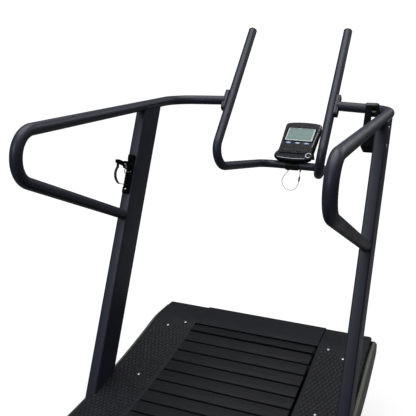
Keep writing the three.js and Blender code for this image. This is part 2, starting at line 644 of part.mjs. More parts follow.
function consoleGroup() {
  const group = new THREE.Group();
  group.position.set(0, CONSOLE.y, CONSOLE.z);
  group.rotation.x = THREE.MathUtils.degToRad(CONSOLE.tilt);
  const window = (grow) => roundedRect(-LCD.halfWidth - grow, LCD.halfWidth + grow, LCD.low - grow,
    LCD.high + grow, 3);
  const wells = [-1, 0, 1].map((place) => buttonOutline(place, 0.5));
  const face = plateZ(CONSOLE_FACE, CONSOLE_DEPTH.split, 0, window(GAP), ...wells);
  add("console_front_shell", face, CONSOLE_PLASTIC, group);
  add("lcd_lens", plateZ(window(0), CONSOLE_DEPTH.split + 1, 0.4), LCD_GLASS, group);
  add("console_rear_shell", consoleRear(), CONSOLE_PLASTIC, group);
  for (const [place, side] of [[-1, "left"], [0, "middle"], [1, "right"]]) {
    add(`console_button_${side}`, plateZ(buttonOutline(place, 0), -5, 1.8), BUTTON_BLUE, group);
  }
  return group;
}

// The rear tray: slim over its foot, deep behind the buttons and tapering towards its top.
function consoleRear() {
  const { split, back, topBack, slimBack, wall } = CONSOLE_DEPTH;
  const taper = Math.atan((topBack - back) / (CONSOLE_TOP - CONSOLE_SLIM_END));
  const { half, length, depth } = CONSOLE_CUTTER;
  const under = (rise) => box(-half, half, 0, length, -depth, 0).rotateX(taper)
    .translate(0, CONSOLE_SLIM_END, back + rise);
  const foot = (grow) => box(-half, half, -depth, CONSOLE_SLIM_END + grow, -2 * depth, slimBack + grow);
  const shell = plateZ(CONSOLE_FACE, back, split - GAP);
  const hollow = plateZ(CONSOLE_FACE.map(([x, y]) => [x * 0.95, y * 0.95 + 4]), back + wall, 0);
  return cut(shell, foot(0), under(0), cut(hollow, foot(wall), under(wall)));
}

// An oval at one of the three places in the row of buttons.
function buttonOutline(place, grow) {
  const [halfWidth, halfHeight] = [BUTTONS.halfWidth + grow, BUTTONS.halfHeight + grow];
  const x = place * BUTTONS.spacing;
  return circle(1, 14).map(([cos, sin]) => [x + halfWidth * cos, BUTTONS.along + halfHeight * sin]);
}

// Saddle block between the cross bar and the back of the console.
function consoleBracket() {
  const tilt = THREE.MathUtils.degToRad(CONSOLE.tilt);
  const under = CONSOLE_DEPTH.slimBack - GAP;
  const block = box(-28, 28, -56, 8, -50, under).rotateX(tilt).translate(0, CONSOLE.y, CONSOLE.z);
  return cut(block, rodX(HANDLEBAR.radius + 1, -40, 40, CROSS_BAR[1], CROSS_BAR[2], ROUND));
}

function leadTube() {
  const points = LEAD_ROUTE.map((p) => new THREE.Vector3(...p));
  const curve = new THREE.CatmullRomCurve3(points, false, "centripetal");
  const section = shapeOf(circle(LEAD_RADIUS, 8));
  return new THREE.ExtrudeGeometry(section, { extrudePath: curve, steps: 34 });
}

function rodBetween(low, high, radius, sides) {
  return roundBar([low, high], [], radius, sides);
}

// ---------- holders on the uprights ----------
// A group standing on an upright: its z axis runs up the upright and its -y axis points backwards.
function uprightGroup(x, z, offset) {
  const group = new THREE.Group();
  group.position.set(x, UPRIGHT.footY + UPRIGHT.lean * z + offset, z);
  group.rotation.x = -Math.atan(UPRIGHT.lean);
  return group;
}

function bottleCage() {
  const { back, front, near, far, wall, corner } = CAGE;
  const { bottom, floor, rim, top } = CAGE_LEVELS;
  const ring = (inset) => roundedRect(front + inset, back - inset, near + inset, far - inset,
    corner - inset, 3);
  const { thickness, half, boss } = CAGE_PLATE;
  const { across, heights } = CAGE_BOLTS;
  const plate = box(back - thickness, back, across - half, across + half, bottom + wall, top);
  const post = box(front + 3, front + CAGE_POST_WIDTH, near, near + wall, floor - 2, rim + 2);
  const bosses = heights.map((z) => rodX(boss, -GAP, back - 1, across, z, 10));
  const hoop = plateZ(ring(0), rim, top, ring(wall));
  return join(plate, hoop, plateZ(ring(0), bottom, floor), post, ...bosses);
}

function strapParts(group) {
  const { low, high, depth, footTop, headLow } = STRAP;
  const rail = box(-12, 12, -depth, -GAP, low, high);
  const foot = box(-9, 9, -20, 1 - depth, low, footTop);
  const head = box(-10, 10, -18, 1 - depth, headLow, high);
  add("strap_bracket", join(rail, foot, head), BLACK_PLASTIC, group);
  const block = box(-9, 9, STRAP_CLAMP.reach, -depth - GAP, STRAP_CLAMP.low, STRAP_CLAMP.high);
  const span = STRAP_ARM.halfWidth;
  const arm = box(-span, span, STRAP_ARM.reach, STRAP_CLAMP.reach + 1, STRAP_ARM.low, STRAP_ARM.high);
  const clamp = join(cut(block, rodX(5, -20, 20, ...STRAP_CLAMP.pin)), arm);
  add("strap_clamp", clamp, BLACK_PLASTIC, group);
  const { inner, outer, half, y, z } = STRAP_RING;
  const section = [[inner, -half], [outer, -half], [outer, half], [inner, half]];
  add("strap_ring", ringX(section, y, z, 16), STEEL, group);
  const { halfWidth, halfThickness } = STRAP_WEBBING;
  const webbing = shapeOf([[-halfWidth, -halfThickness], [halfWidth, -halfThickness],
    [halfWidth, halfThickness], [-halfWidth, halfThickness]]);
  add("strap_loop", sweep(webbing, bentPath(STRAP_ROUTE, STRAP_BENDS, 20)), STRAP_WEB, group);
}

// ---------- assembly ----------
add("slat_belt", slatBelt(), SLAT_RUBBER);
addPair("side_frame", sideFrame(), FRAME_BLACK);
addPair("base_rail", baseRail(), FRAME_BLACK);
addPair("upright", upright(), POWDER_BLACK);
addPair("handrail", handrail(), POWDER_BLACK);
add("u_handlebar", handlebar(), POWDER_BLACK);
addPair("arm_cap", armCap(), BLACK_PLASTIC);
addPair("footrest", footrest(), DECK_PLASTIC);
addPair("side_fairing", fairing(), FAIRING_GREY);
add("front_cover", endCover(1), DECK_PLASTIC);
add("rear_cover", endCover(-1), DECK_PLASTIC);

const beamSpan = UPRIGHT.x + UPRIGHT.width / 2;
const beamY = UPRIGHT.footY + UPRIGHT.lean * UPRIGHT_BOTTOM;
const beam = box(-beamSpan, beamSpan, beamY, beamY + UPRIGHT.depth, OUTRIGGER.bottom, OUTRIGGER.top);
add("outrigger_beam", beam, FRAME_BLACK);
for (const end of ["front", "rear"]) {
  const { [end]: y, bottom, top, halfDepth } = CROSS_TUBES;
  const reach = BASE_RAIL.inner - GAP;
  add(`cross_tube_${end}`, box(-reach, reach, y - halfDepth, y + halfDepth, bottom, top), FRAME_BLACK);
}

const pulleyAt = pulley();
for (const [end, y] of Object.entries(AXLES)) {
  const bore = PULLEY.bore + 0.4;
  const leftBore = end === "front" ? HOUSING.oneWayBore : bore;
  add(`${end}_axle`, rodX(AXLE_RADIUS, -AXLE_HALF_LENGTH, AXLE_HALF_LENGTH, y, PULLEY_Z, 16), STEEL);
  addPair(`${end}_pulley`, pulleyAt(y), GREY_NYLON);
  add(`${end}_bearing_housing_right`, bearingHousing(y, bore), FRAME_BLACK);
  add(`${end}_bearing_housing_left`, mirrorX(bearingHousing(y, leftBore)), FRAME_BLACK);
}
add("one_way_bearing", ringX(ONE_WAY_SECTION, AXLES.front, PULLEY_Z), STEEL);

const footAt = levellingFoot();
FOOT_Y.forEach((y, i) => addPair(`levelling_foot_${["rear", "front"][i]}`, footAt(y), RUBBER));
addPair("transport_wheel", transportWheel(), RUBBER);
ROLLER_OFFSETS.forEach((offset, i) => {
  const { y, z } = rollerPlace(offset);
  const [low, high] = [PULLEY_FACE.inner + 2, PULLEY_FACE.outer];
  const section = [[ROLLER.bore, low], [ROLLER.radius, low], [ROLLER.radius, high], [ROLLER.bore, high]];
  addPair(`guide_roller_${["rear", "front"][i]}`, ringX(section, y, z, 16), GREY_NYLON);
});
const sensorY = AXLES.front - SENSOR.back;
const sensor = box(SENSOR.inner, SIDE_PLATE.inner - GAP, sensorY - SENSOR.half, sensorY + SENSOR.half,
  PULLEY_Z - SENSOR.below, PULLEY_Z + SENSOR.above);
add("speed_sensor", sensor, BLACK_PLASTIC);

treadmill.add(consoleGroup());
add("console_bracket", consoleBracket(), BLACK_PLASTIC);
add("sensor_lead", leadTube(), LEAD_WHITE);
const connector = rodBetween(LEAD_CONNECTOR.low, LEAD_CONNECTOR.high, LEAD_CONNECTOR.radius, 12);
add("lead_connector", connector, BLACK_PLASTIC);
add("lead_tail", rodBetween(LEAD_TAIL.low, LEAD_TAIL.high, LEAD_RADIUS, 8), LEAD_WHITE);
const underBar = CROSS_BAR[2] - HANDLEBAR.radius - GAP;
for (const side of ["left", "right"]) {
  const grommet = rodZ(GROMMET.radius, GROMMET[side], CROSS_BAR[1], GROMMET.bottom, underBar);
  add(`lead_grommet_${side}`, grommet, RUBBER);
}

const cageHolder = uprightGroup(UPRIGHT.x - UPRIGHT.width / 2, CAGE_HEIGHT, UPRIGHT.depth / 2);
add("bottle_cage", bottleCage(), BLACK_PLASTIC, cageHolder);
treadmill.add(cageHolder);
const strapHolder = uprightGroup(-UPRIGHT.x, STRAP_HEIGHT, 0);
strapParts(strapHolder);
treadmill.add(strapHolder);

export default treadmill;
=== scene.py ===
"""Curved manual treadmill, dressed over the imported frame.

The pieces' dimensions are in millimetres, which piece() turns into metres. The stage and the
lead's route are in metres. +X is the user's right, +Y is towards the console and +Z is up.
"""
import math

import bmesh
import bpy
from mathutils import Matrix, Vector


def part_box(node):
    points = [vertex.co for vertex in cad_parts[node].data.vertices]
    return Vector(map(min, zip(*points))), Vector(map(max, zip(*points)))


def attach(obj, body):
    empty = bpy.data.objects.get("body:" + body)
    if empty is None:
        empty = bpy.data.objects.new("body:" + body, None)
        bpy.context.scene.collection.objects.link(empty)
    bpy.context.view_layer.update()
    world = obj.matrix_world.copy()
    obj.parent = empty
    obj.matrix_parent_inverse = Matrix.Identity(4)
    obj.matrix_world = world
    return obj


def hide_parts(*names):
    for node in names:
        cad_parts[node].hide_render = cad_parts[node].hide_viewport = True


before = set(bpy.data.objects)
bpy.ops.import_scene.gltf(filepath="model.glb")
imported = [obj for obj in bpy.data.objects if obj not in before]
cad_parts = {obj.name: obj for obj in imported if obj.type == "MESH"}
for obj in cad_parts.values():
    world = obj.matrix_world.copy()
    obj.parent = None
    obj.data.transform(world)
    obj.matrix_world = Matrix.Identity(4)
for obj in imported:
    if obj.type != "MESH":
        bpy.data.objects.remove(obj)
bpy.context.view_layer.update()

MM = 0.001

# ---------- dimensions, as in the frame ----------
CURVE_Y, CURVE_Z, CURVE_RADIUS = -260, 208, 3350
DECK_FRONT, DECK_REAR = 640, -1147.9
BELT_HALF_WIDTH, BELT_LEFT = 240, 244
BELT_END_REACH, BELT_WRAP_RADIUS, BELT_SAG = 680, 90, 8
SLAT_COUNT, SLAT_GAP, SLAT_THICKNESS, SLAT_TAPER = 55, 7, 18, 5
SLAT_ROUND, SLAT_BOLT_X, BELT_PHASE = 2.5, 210, 0.75
CARRIER_THICKNESS, CARRIER_X = 8, (196, 224)
COVER_REACH, COVER_HALF_WIDTH, COVER_THICKNESS, COVER_DROP = 726, 246, 4, 4
COVER_LEVELLING, NOSE_RADIUS = 60, 30
FOOTREST_INNER, FOOTREST_OUTER, FOOTREST_DROP = 247.5, 424, 8
FOOTREST_WALL, FOOTREST_LIP, FOOTREST_SKIRT = 4, 13, 34
FAIRING_LIP, FAIRING_WALL, FAIRING_OUTER, FAIRING_STEP = 429.5, 441.5, 445.5, 16
FAIRING_LOW, FAIRING_BOW, FAIRING_FLARE, FAIRING_CROWN = 150, 23700, 590, (12, 14)
SHELF_EDGE, SHELF_TOP, SHELF_BOTTOM = 424.3, 15, 18
CORNER_RADIUS, CORNER_LIMIT = 28, 22
UPRIGHT_X, UPRIGHT_WIDTH, UPRIGHT_DEPTH, UPRIGHT_CORNER = 421.6, 38, 124, 6
UPRIGHT_LEAN, UPRIGHT_FOOT_Y = 0.4348, -122.6
UPRIGHT_BOTTOM, UPRIGHT_TOP = 45.3, 1138
RAIL_RADIUS, RAIL_END_X, RAIL_HEIGHT = 17.5, 226.5, 1143.6
RAIL_ROUTE = [(223, 693.5, 1145.6), (421.5, 645.4, 1143.5), (409.3, -339.4, 1143.9),
              (409.3, -350.7, 1021.6), (421.5, 250, 765.3)]
RAIL_BENDS = [110, 72, 72]
ARM_RADIUS = 17
ARM_TIP, ARM_FOOT, CROSS_BAR = (196.8, 937.8, 1408.8), (201.7, 489.5, 916.9), (132, 945, 857.5)
HANDLEBAR_BENDS = [63, 62]
PLATE_Y, PLATE_Z, PLATE_LENGTH, PLATE_WIDTH, PLATE_LEAN = 696.5, 1145.6, 92, 30, 42.7
PLATE_THICKNESS, PLATE_BOLT_REACH, BAR_PLATE_X = 5.4, 32, 212
CONSOLE_Y, CONSOLE_Z, CONSOLE_TILT = 950, 911.5, 31
BUTTON_SPACING, BUTTON_ALONG = 40, 62.5
TRAY_DEEP, TRAY_TOP_DEPTH, TRAY_STEP, CONSOLE_TOP = -58, -33, 22, 211
CAGE_HEIGHT, STRAP_HEIGHT = 1100, 912

# The sensor lead's route, in metres: down from the left grommet, round and up to the connector.
LEAD_ROUTE = [(-0.0200, 0.945, 0.8328), (-0.0220, 0.945, 0.8270), (-0.0305, 0.945, 0.8180),
              (-0.0385, 0.945, 0.8070), (-0.0435, 0.945, 0.7960), (-0.0450, 0.945, 0.7840),
              (-0.0430, 0.945, 0.7730), (-0.0375, 0.945, 0.7625), (-0.0290, 0.945, 0.7540),
              (-0.0175, 0.945, 0.7488), (-0.0050, 0.945, 0.7476), (0.0070, 0.945, 0.7515),
              (0.0170, 0.945, 0.7600), (0.0240, 0.945, 0.7710), (0.0280, 0.945, 0.7830),
              (0.0291, 0.945, 0.7880)]
LEAD_DIAMETER = 0.0028
# The connector and the tail above it, in millimetres like the rest.
CONNECTOR_ENDS = ((29.2, 945, 788.3), (31.7, 945, 812.3))
TAIL_ENDS = ((31.8, 945, 812.7), (33.5, 945, 832.9))


# ---------- camera, floor and lights ----------
CAMERA_PLACE, CAMERA_LENS = (0.6526, -1.6449, 1.3899), 54.3
CAMERA_TURN = (-21.929, -15.352, 0.702)  # yaw, pitch and roll, in degrees
WORLD_GLOW = 0.14  # how strongly the white surround lights the object
FLOOR_GLOW, FLOOR_REACH = (0.84, 1.0), (1.3, 3.2)  # the floor's own white, near and far


def add_camera():
    yaw, pitch, roll = (math.radians(a) for a in CAMERA_TURN)
    forward = Vector((math.sin(yaw) * math.cos(pitch), math.cos(yaw) * math.cos(pitch), math.sin(pitch)))
    level = Vector((math.cos(yaw), -math.sin(yaw), 0))
    above = level.cross(forward)
    right = math.cos(roll) * level + math.sin(roll) * above
    up = math.cos(roll) * above - math.sin(roll) * level
    data = bpy.data.cameras.new("camera")
    data.lens = CAMERA_LENS
    data.sensor_width = 36
    camera = bpy.data.objects.new("camera", data)
    camera.matrix_world = Matrix((right, up, -forward)).transposed().to_4x4()
    camera.location = CAMERA_PLACE
    bpy.context.collection.objects.link(camera)
    bpy.context.scene.camera = camera


def add_light(name, place, target, size, power, colour=(1, 1, 1)):
    data = bpy.data.lights.new(name, "AREA")
    data.shape = "RECTANGLE"
    data.size, data.size_y = size
    data.energy = power
    data.color = colour
    light = bpy.data.objects.new(name, data)
    light.location = place
    light.rotation_euler = (Vector(target) - Vector(place)).to_track_quat("-Z", "Y").to_euler()
    bpy.context.collection.objects.link(light)


def add_surround():
    """A white world, at full strength where the camera sees it and faint where it lights the object."""
    world = bpy.data.worlds.new("world")
    world.use_nodes = True
    tree = world.node_tree
    total = tree.nodes.new("ShaderNodeMath")
    total.inputs[1].default_value = WORLD_GLOW
    tree.links.new(tree.nodes.new("ShaderNodeLightPath").outputs["Is Camera Ray"], total.inputs[0])
    tree.links.new(total.outputs["Value"], tree.nodes["Background"].inputs["Strength"])
    tree.nodes["Background"].inputs["Color"].default_value = (1, 1, 1, 1)
    bpy.context.scene.world = world
    bpy.context.scene.view_settings.view_transform = "Standard"


def add_floor():
    """A white floor that keeps a soft shadow near the object and is plain white further off.

    Its glow is only for what the camera sees directly, so that the glow doesn't light the object.
    """
    mesh = bpy.data.meshes.new("floor")
    edge = 14
    corners = [(-edge, -edge, 0), (edge, -edge, 0), (edge, edge, 0), (-edge, edge, 0)]
    mesh.from_pydata(corners, [], [(0, 1, 2, 3)])
    floor = bpy.data.objects.new("floor", mesh)
    surface = Surface("floor", (0.22, 0.22, 0.22), 0.95, specular=0.0)
    distance = surface.node("VectorMath")
    distance.operation = "LENGTH"
    surface.link(surface.coordinates, distance.inputs[0])
    glow = surface.node("Math")
    glow.operation = "MULTIPLY"
    surface.link(surface.node("LightPath").outputs["Is Camera Ray"], glow.inputs[0])
    surface.link(surface.span(distance.outputs["Value"], *FLOOR_GLOW, *FLOOR_REACH), glow.inputs[1])
    surface.drive("Emission Strength", glow.outputs["Value"])
    surface.set("Emission Color", (1, 1, 1, 1))
    mesh.materials.append(surface.material)
    bpy.context.collection.objects.link(floor)


def add_stage():
    add_surround()
    add_floor()
    add_light("overhead", (-0.3, 0.2, 4.2), (0, 0, 0), (3.6, 3.6), 150)
    add_light("key", (-1.4, -3.8, 3.2), (0, 0.2, 0.8), (1.8, 1.8), 60, (0.9, 0.94, 1))
    add_light("back", (1.6, 3.2, 2.8), (0, 0.4, 0.6), (2.0, 1.6), 18)


# ---------- materials ----------
class Surface:
    """A material, with short forms for the shader nodes that the materials share."""

    def __init__(self, name, colour, roughness, specular=0.5, metallic=0.0, coat=0.0):
        self.material = bpy.data.materials.new(name)
        self.material.use_nodes = True
        self.tree = self.material.node_tree
        self.coordinates = self.node("TexCoord").outputs["Object"]
        self.set("Base Color", (*colour, 1))
        self.set("Roughness", roughness)
        self.set("Specular IOR Level", specular)
        self.set("Metallic", metallic)
        self.set("Coat Weight", coat)

    def set(self, socket, value):
        self.tree.nodes["Principled BSDF"].inputs[socket].default_value = value

    def drive(self, socket, source):
        self.link(source, self.tree.nodes["Principled BSDF"].inputs[socket])

    def link(self, source, target):
        self.tree.links.new(source, target)

    def node(self, kind, **values):
        """A new node, with its inputs' values by name."""
        made = self.tree.nodes.new(f"ShaderNode{kind}")
        for name, value in values.items():
            made.inputs[name.replace("_", " ")].default_value = value
        return made

    def noise(self, scale, detail, stretch=(1, 1, 1)):
        mapping = self.node("Mapping", Scale=stretch)
        self.link(self.coordinates, mapping.inputs["Vector"])
        noise = self.node("TexNoise", Scale=scale, Detail=detail, Roughness=0.55)
        self.link(mapping.outputs["Vector"], noise.inputs["Vector"])
        return noise.outputs["Fac"]

    def ramp(self, source, stops):
        """A ramp between two stops of (place, colour)."""
        ramp = self.node("ValToRGB")
        for element, (place, colour) in zip(ramp.color_ramp.elements, stops):
            element.position = place
            element.color = (*colour, 1)
        self.link(source, ramp.inputs["Fac"])
        return ramp.outputs["Color"]

    def span(self, source, low, high, from_low=0.3, from_high=0.7):
        span = self.node("MapRange", From_Min=from_low, From_Max=from_high, To_Min=low, To_Max=high)
        self.link(source, span.inputs["Value"])
        return span.outputs["Result"]

    def bump(self, height, strength, distance, under=None):
        bump = self.node("Bump", Strength=strength, Distance=distance)
        self.link(height, bump.inputs["Height"])
        if under:
            self.link(under, bump.inputs["Normal"])
        return bump.outputs["Normal"]


def scaled(colour, factor):
    return tuple(min(1, channel * factor) for channel in colour)


def varied(name, colour, roughness, spread, patch, grain, relief, rough_spread=0.08, streak=(1, 1, 1),
           **levels):
    """A surface whose colour and gloss drift in patches, with a fine grain in relief."""
    surface = Surface(name, colour, roughness, **levels)
    stops = [(0.3, scaled(colour, 1 - spread)), (0.7, scaled(colour, 1 + spread))]
    surface.drive("Base Color", surface.ramp(surface.noise(patch, 4, streak), stops))
    cloudy = surface.noise(patch * 5, 5, streak)
    surface.drive("Roughness", surface.span(cloudy, roughness - rough_spread, roughness + rough_spread))
    surface.drive("Normal", surface.bump(surface.noise(grain, 2), relief, 0.0004))
    return surface.material


def slat_material():
    """Black rubber, with long scuffs across the belt, a fine grain and faint ridges."""
    surface = Surface("slat_rubber", (0.012, 0.013, 0.015), 0.6, specular=0.22)
    scuffs = surface.noise(6, 6, (0.5, 16, 16))
    stops = [(0.35, (0.0046, 0.0049, 0.006)), (0.75, (0.0076, 0.008, 0.0096))]
    surface.drive("Base Color", surface.ramp(scuffs, stops))
    surface.drive("Roughness", surface.span(surface.noise(30, 4, (0.3, 3, 3)), 0.5, 0.72))
    relief = surface.bump(surface.noise(1400, 2), 0.25, 0.0003)
    surface.drive("Normal", surface.bump(surface.noise(240, 1, (0.02, 1, 1)), 0.12, 0.0006, relief))
    return surface.material


def webbing_material():
    """Woven black webbing, as fine waves."""
    surface = Surface("strap_webbing", (0.012, 0.012, 0.012), 0.9)
    wave = surface.node("TexWave", Scale=400, Distortion=1.5)
    surface.link(surface.coordinates, wave.inputs["Vector"])
    stops = [(0, (0.006, 0.006, 0.006)), (1, (0.03, 0.03, 0.031))]
    surface.drive("Base Color", surface.ramp(wave.outputs["Fac"], stops))
    surface.drive("Normal", surface.bump(wave.outputs["Fac"], 0.6, 0.0004))
    return surface.material


def lcd_material():
    """A grey-green liquid-crystal window: soft patches under a thin gloss coat."""
    surface = Surface("lcd_panel", (0.063, 0.146, 0.126), 0.3, coat=0.06)
    surface.set("Coat Roughness", 0.08)
    stops = [(0.3, (0.056, 0.137, 0.117)), (0.7, (0.071, 0.158, 0.136))]
    surface.drive("Base Color", surface.ramp(surface.noise(9, 2), stops))
    surface.drive("Normal", surface.bump(surface.noise(1500, 1), 0.05, 0.0001))
    return surface.material


def button_material():
    """Oval key caps: blue, with a painted highlight in silver along the top."""
    surface = Surface("button_plastic", (0.05, 0.13, 0.4), 0.3, coat=0.4)
    split = surface.node("SeparateXYZ")
    surface.link(surface.node("TexCoord").outputs["Generated"], split.inputs["Vector"])
    # The silver stop along the top of each cap is a painted highlight.
    stops = [(0.58, (0.003, 0.045, 0.2)), (0.84, (0.28, 0.4, 0.5))]
    surface.drive("Base Color", surface.ramp(split.outputs["Z"], stops))
    surface.drive("Normal", surface.bump(surface.noise(1200, 2), 0.08, 0.0002))
    return surface.material


# Colour, roughness, spread of the colour, scale of its patches, scale of the grain and its relief.
# A number after those is the spread of the roughness.
SURFACES = {
    "powder_coat": ((0.019, 0.0205, 0.036), 0.42, 0.12, 3, 700, 0.18, 0.05),
    "frame_coat": ((0.0095, 0.01, 0.0115), 0.45, 0.15, 5, 800, 0.2),
    "deck_plastic": ((0.0055, 0.006, 0.0092), 0.55, 0.14, 5, 1300, 0.3),
    # Light grey used for the cage rim as a painted highlight on the cage's lit top edge.
    "rim_highlight_grey": ((0.085, 0.087, 0.084), 0.5, 0.15, 14, 1200, 0.15),
    # The tread's plastic is lighter than the foot-rest as a painted highlight on the raised lozenges.
    "tread_highlight_plastic": ((0.0135, 0.014, 0.0165), 0.4, 0.35, 9, 1300, 0.2),
    # Near-black plastic, also laid as painted shade in the console's slot and round each key.
    "matt_black_and_shade": ((0.0022, 0.0022, 0.003), 0.8, 0.2, 14, 1200, 0.1),
    "fairing_plastic": ((0.085, 0.087, 0.073), 0.42, 0.1, 4, 1100, 0.12),
    "black_plastic": ((0.0045, 0.0045, 0.005), 0.42, 0.2, 14, 1200, 0.15),
    "console_plastic": ((0.0036, 0.0039, 0.0072), 0.5, 0.12, 12, 1500, 0.22),
    "slate_trim": ((0.0045, 0.0068, 0.0125), 0.5, 0.12, 12, 1500, 0.2),
    # Silver trim, also used as painted highlights along the console's foot edge and on the strap's lever.
    "silver_and_highlight": ((0.42, 0.44, 0.48), 0.4, 0.08, 30, 1500, 0.08),
    "rubber": ((0.012, 0.012, 0.013), 0.75, 0.25, 14, 900, 0.3),
    "lead_jacket": ((0.5, 0.51, 0.53), 0.3, 0.05, 40, 1200, 0.05),
    "grey_nylon": ((0.11, 0.11, 0.115), 0.5, 0.12, 18, 900, 0.12),
}
SPECULAR = {"powder_coat": 0.34, "frame_coat": 0.4, "deck_plastic": 0.28, "tread_highlight_plastic": 0.4,
            "matt_black_and_shade": 0.08, "black_plastic": 0.35, "console_plastic": 0.22, "slate_trim": 0.12}
MATERIALS = {name: varied(name, *surface, specular=SPECULAR.get(name, 0.5))
             for name, surface in SURFACES.items()}
MATERIALS["steel"] = varied("steel", (0.62, 0.63, 0.65), 0.28, 0.08, 30, 900, 0.08, 0.06, (1, 1, 12),
                            metallic=1.0)
MATERIALS["slat_rubber"] = slat_material()
MATERIALS["strap_webbing"] = webbing_material()
MATERIALS["lcd_window"] = lcd_material()
MATERIALS["display_ghost"] = Surface("display_ghost", (0.065, 0.125, 0.105), 0.3).material
MATERIALS["button_plastic"] = button_material()


# ---------- shapes ----------
# A shape is a list of corners and a list of faces. Shapes in a piece are joined, then scaled to metres.
def arc(centre, radius, start, end, steps):
    angles = [math.radians(start + (end - start) * i / steps) for i in range(steps + 1)]
    return [(centre[0] + radius * math.cos(a), centre[1] + radius * math.sin(a)) for a in angles]


def rounded(low_u, high_u, low_v, high_v, radius, steps=5):
    """A rounded rectangle, anticlockwise."""
    centres = [(high_u - radius, high_v - radius), (low_u + radius, high_v - radius),
               (low_u + radius, low_v + radius), (high_u - radius, low_v + radius)]
    return [p for i, c in enumerate(centres) for p in arc(c, radius, 90 * i, 90 * i + 90, steps)]


def unit_arc(start, end, steps):
    return arc((0, 0), 1, start, end, steps)


def circle(radius, sides):
    return arc((0, 0), radius, 0, 360 - 360 / sides, sides - 1)


def loft(sections, closed_path=False):
    """A skin through rings of corners. The ends are filled unless the path closes on itself."""
    count = len(sections[0])
    corners = [tuple(p) for ring in sections for p in ring]
    rows = len(sections) if closed_path else len(sections) - 1
    faces = []
    for row in range(rows):
        after = (row + 1) % len(sections)
        for i in range(count):
            j = (i + 1) % count
            faces.append((row * count + i, row * count + j, after * count + j, after * count + i))
    if not closed_path:
        faces.append(tuple(reversed(range(count))))
        faces.append(tuple(range(len(corners) - count, len(corners))))
    return corners, faces


def along_x(outline, low, high):
    """An outline in Y and Z, carried along X."""
    return loft([[(x, y, z) for y, z in outline] for x in (low, high)])


def slab(outline, low, high, lean=0.0):
    """An outline in X and Y, raised along Z."""
    return loft([[(x, y + lean * z, z) for x, y in outline] for z in (low, high)])


def frame_shape(outer, inner, low, high):
    """A flat ring between two outlines of as many points."""
    rings = [[(*p, z) for p in outline] for outline, z in
             ((inner, low), (outer, low), (outer, high), (inner, high))]
    return loft(rings, closed_path=True)


def box_bar(half_y, half_z, radius, low, high, centre):
    """A bar along X with a rounded rectangular section about a centre."""
    outline = rounded(-half_y, half_y, -half_z, half_z, radius)
    return shifted(along_x(outline, low, high), 0, centre.y, centre.z)


def lathe(profile, sides=48):
    """A profile of (radius, height) turned about Z. It starts and ends on the axis, or closes on itself."""
    on_axis = profile[0][0] == 0
    inner = profile[1:-1] if on_axis else profile
    corners = [(r * math.cos(a), r * math.sin(a), h)
               for a in (2 * math.pi * i / sides for i in range(sides)) for r, h in inner]
    count = len(inner)
    faces = []
    for i in range(sides):
        j = (i + 1) % sides
        for k in range(count - 1 if on_axis else count):
            m = (k + 1) % count
            faces.append((i * count + k, j * count + k, j * count + m, i * count + m))
    if on_axis:
        base, top = len(corners), len(corners) + 1
        corners += [(0, 0, profile[0][1]), (0, 0, profile[-1][1])]
        for i in range(sides):
            j = (i + 1) % sides
            faces.append((base, j * count, i * count))
            faces.append((top, i * count + count - 1, j * count + count - 1))
    return corners, faces


def spool(half, width):
    """A profile for lathe() that is the same from both ends, from its first half."""
    return half + [(radius, width - height) for radius, height in reversed(half)]


def bent(route, radii, step=4):
    """Straight runs between the route's points, with an arc of each radius at each inner point."""
    points = [Vector(p) for p in route]
    runs = [(b - a).normalized() for a, b in zip(points, points[1:])]
    path = [points[0]]
    for radius, corner, before, after in zip(radii, points[1:], runs, runs[1:]):
        turn = before.angle(after)
        axis = before.cross(after).normalized()
        start = corner - before * radius * math.tan(turn / 2)
        centre = start + axis.cross(before) * radius
        steps = max(2, round(math.degrees(turn) / step))
        path += [centre + Matrix.Rotation(turn * k / steps, 3, axis) @ (start - centre)
                 for k in range(steps + 1)]
    return path + [points[-1]]


def sweep(path, section, closed=False):
    """A section of (side, up) points carried along a path without twisting."""
    path = [Vector(p) for p in path]
    last = len(path) - 1
    rings = []
    side = None
    for i, point in enumerate(path):
        before = path[i - 1] if i or closed else point
        after = path[(i + 1) % len(path)] if i < last or closed else point
        tangent = (after - before).normalized()
        if side is None:
            side = tangent.cross(Vector((0, 0, 1) if abs(tangent.z) < 0.9 else (0, 1, 0)))
        side = (side - tangent * side.dot(tangent)).normalized()
        up = side.cross(tangent)
        rings.append([point + side * u + up * v for u, v in section])
    return loft(rings, closed)


def moved(shape, matrix):
    return [tuple(matrix @ Vector(p)) for p in shape[0]], shape[1]


def shifted(shape, x=0, y=0, z=0):
    return moved(shape, Matrix.Translation((x, y, z)))


def aimed(shape, place, direction):
    """A shape that stands on the origin along Z, put at a place and turned along a direction."""
    turn = Vector(direction).to_track_quat("Z", "Y").to_matrix().to_4x4()
    return moved(shape, Matrix.Translation(place) @ turn)


def mirrored(shape):
    return [(-x, y, z) for x, y, z in shape[0]], [tuple(reversed(f)) for f in shape[1]]


def on_side(shape, sign):
    """A right-hand shape, or its mirror image for the left."""
    return shape if sign > 0 else mirrored(shape)


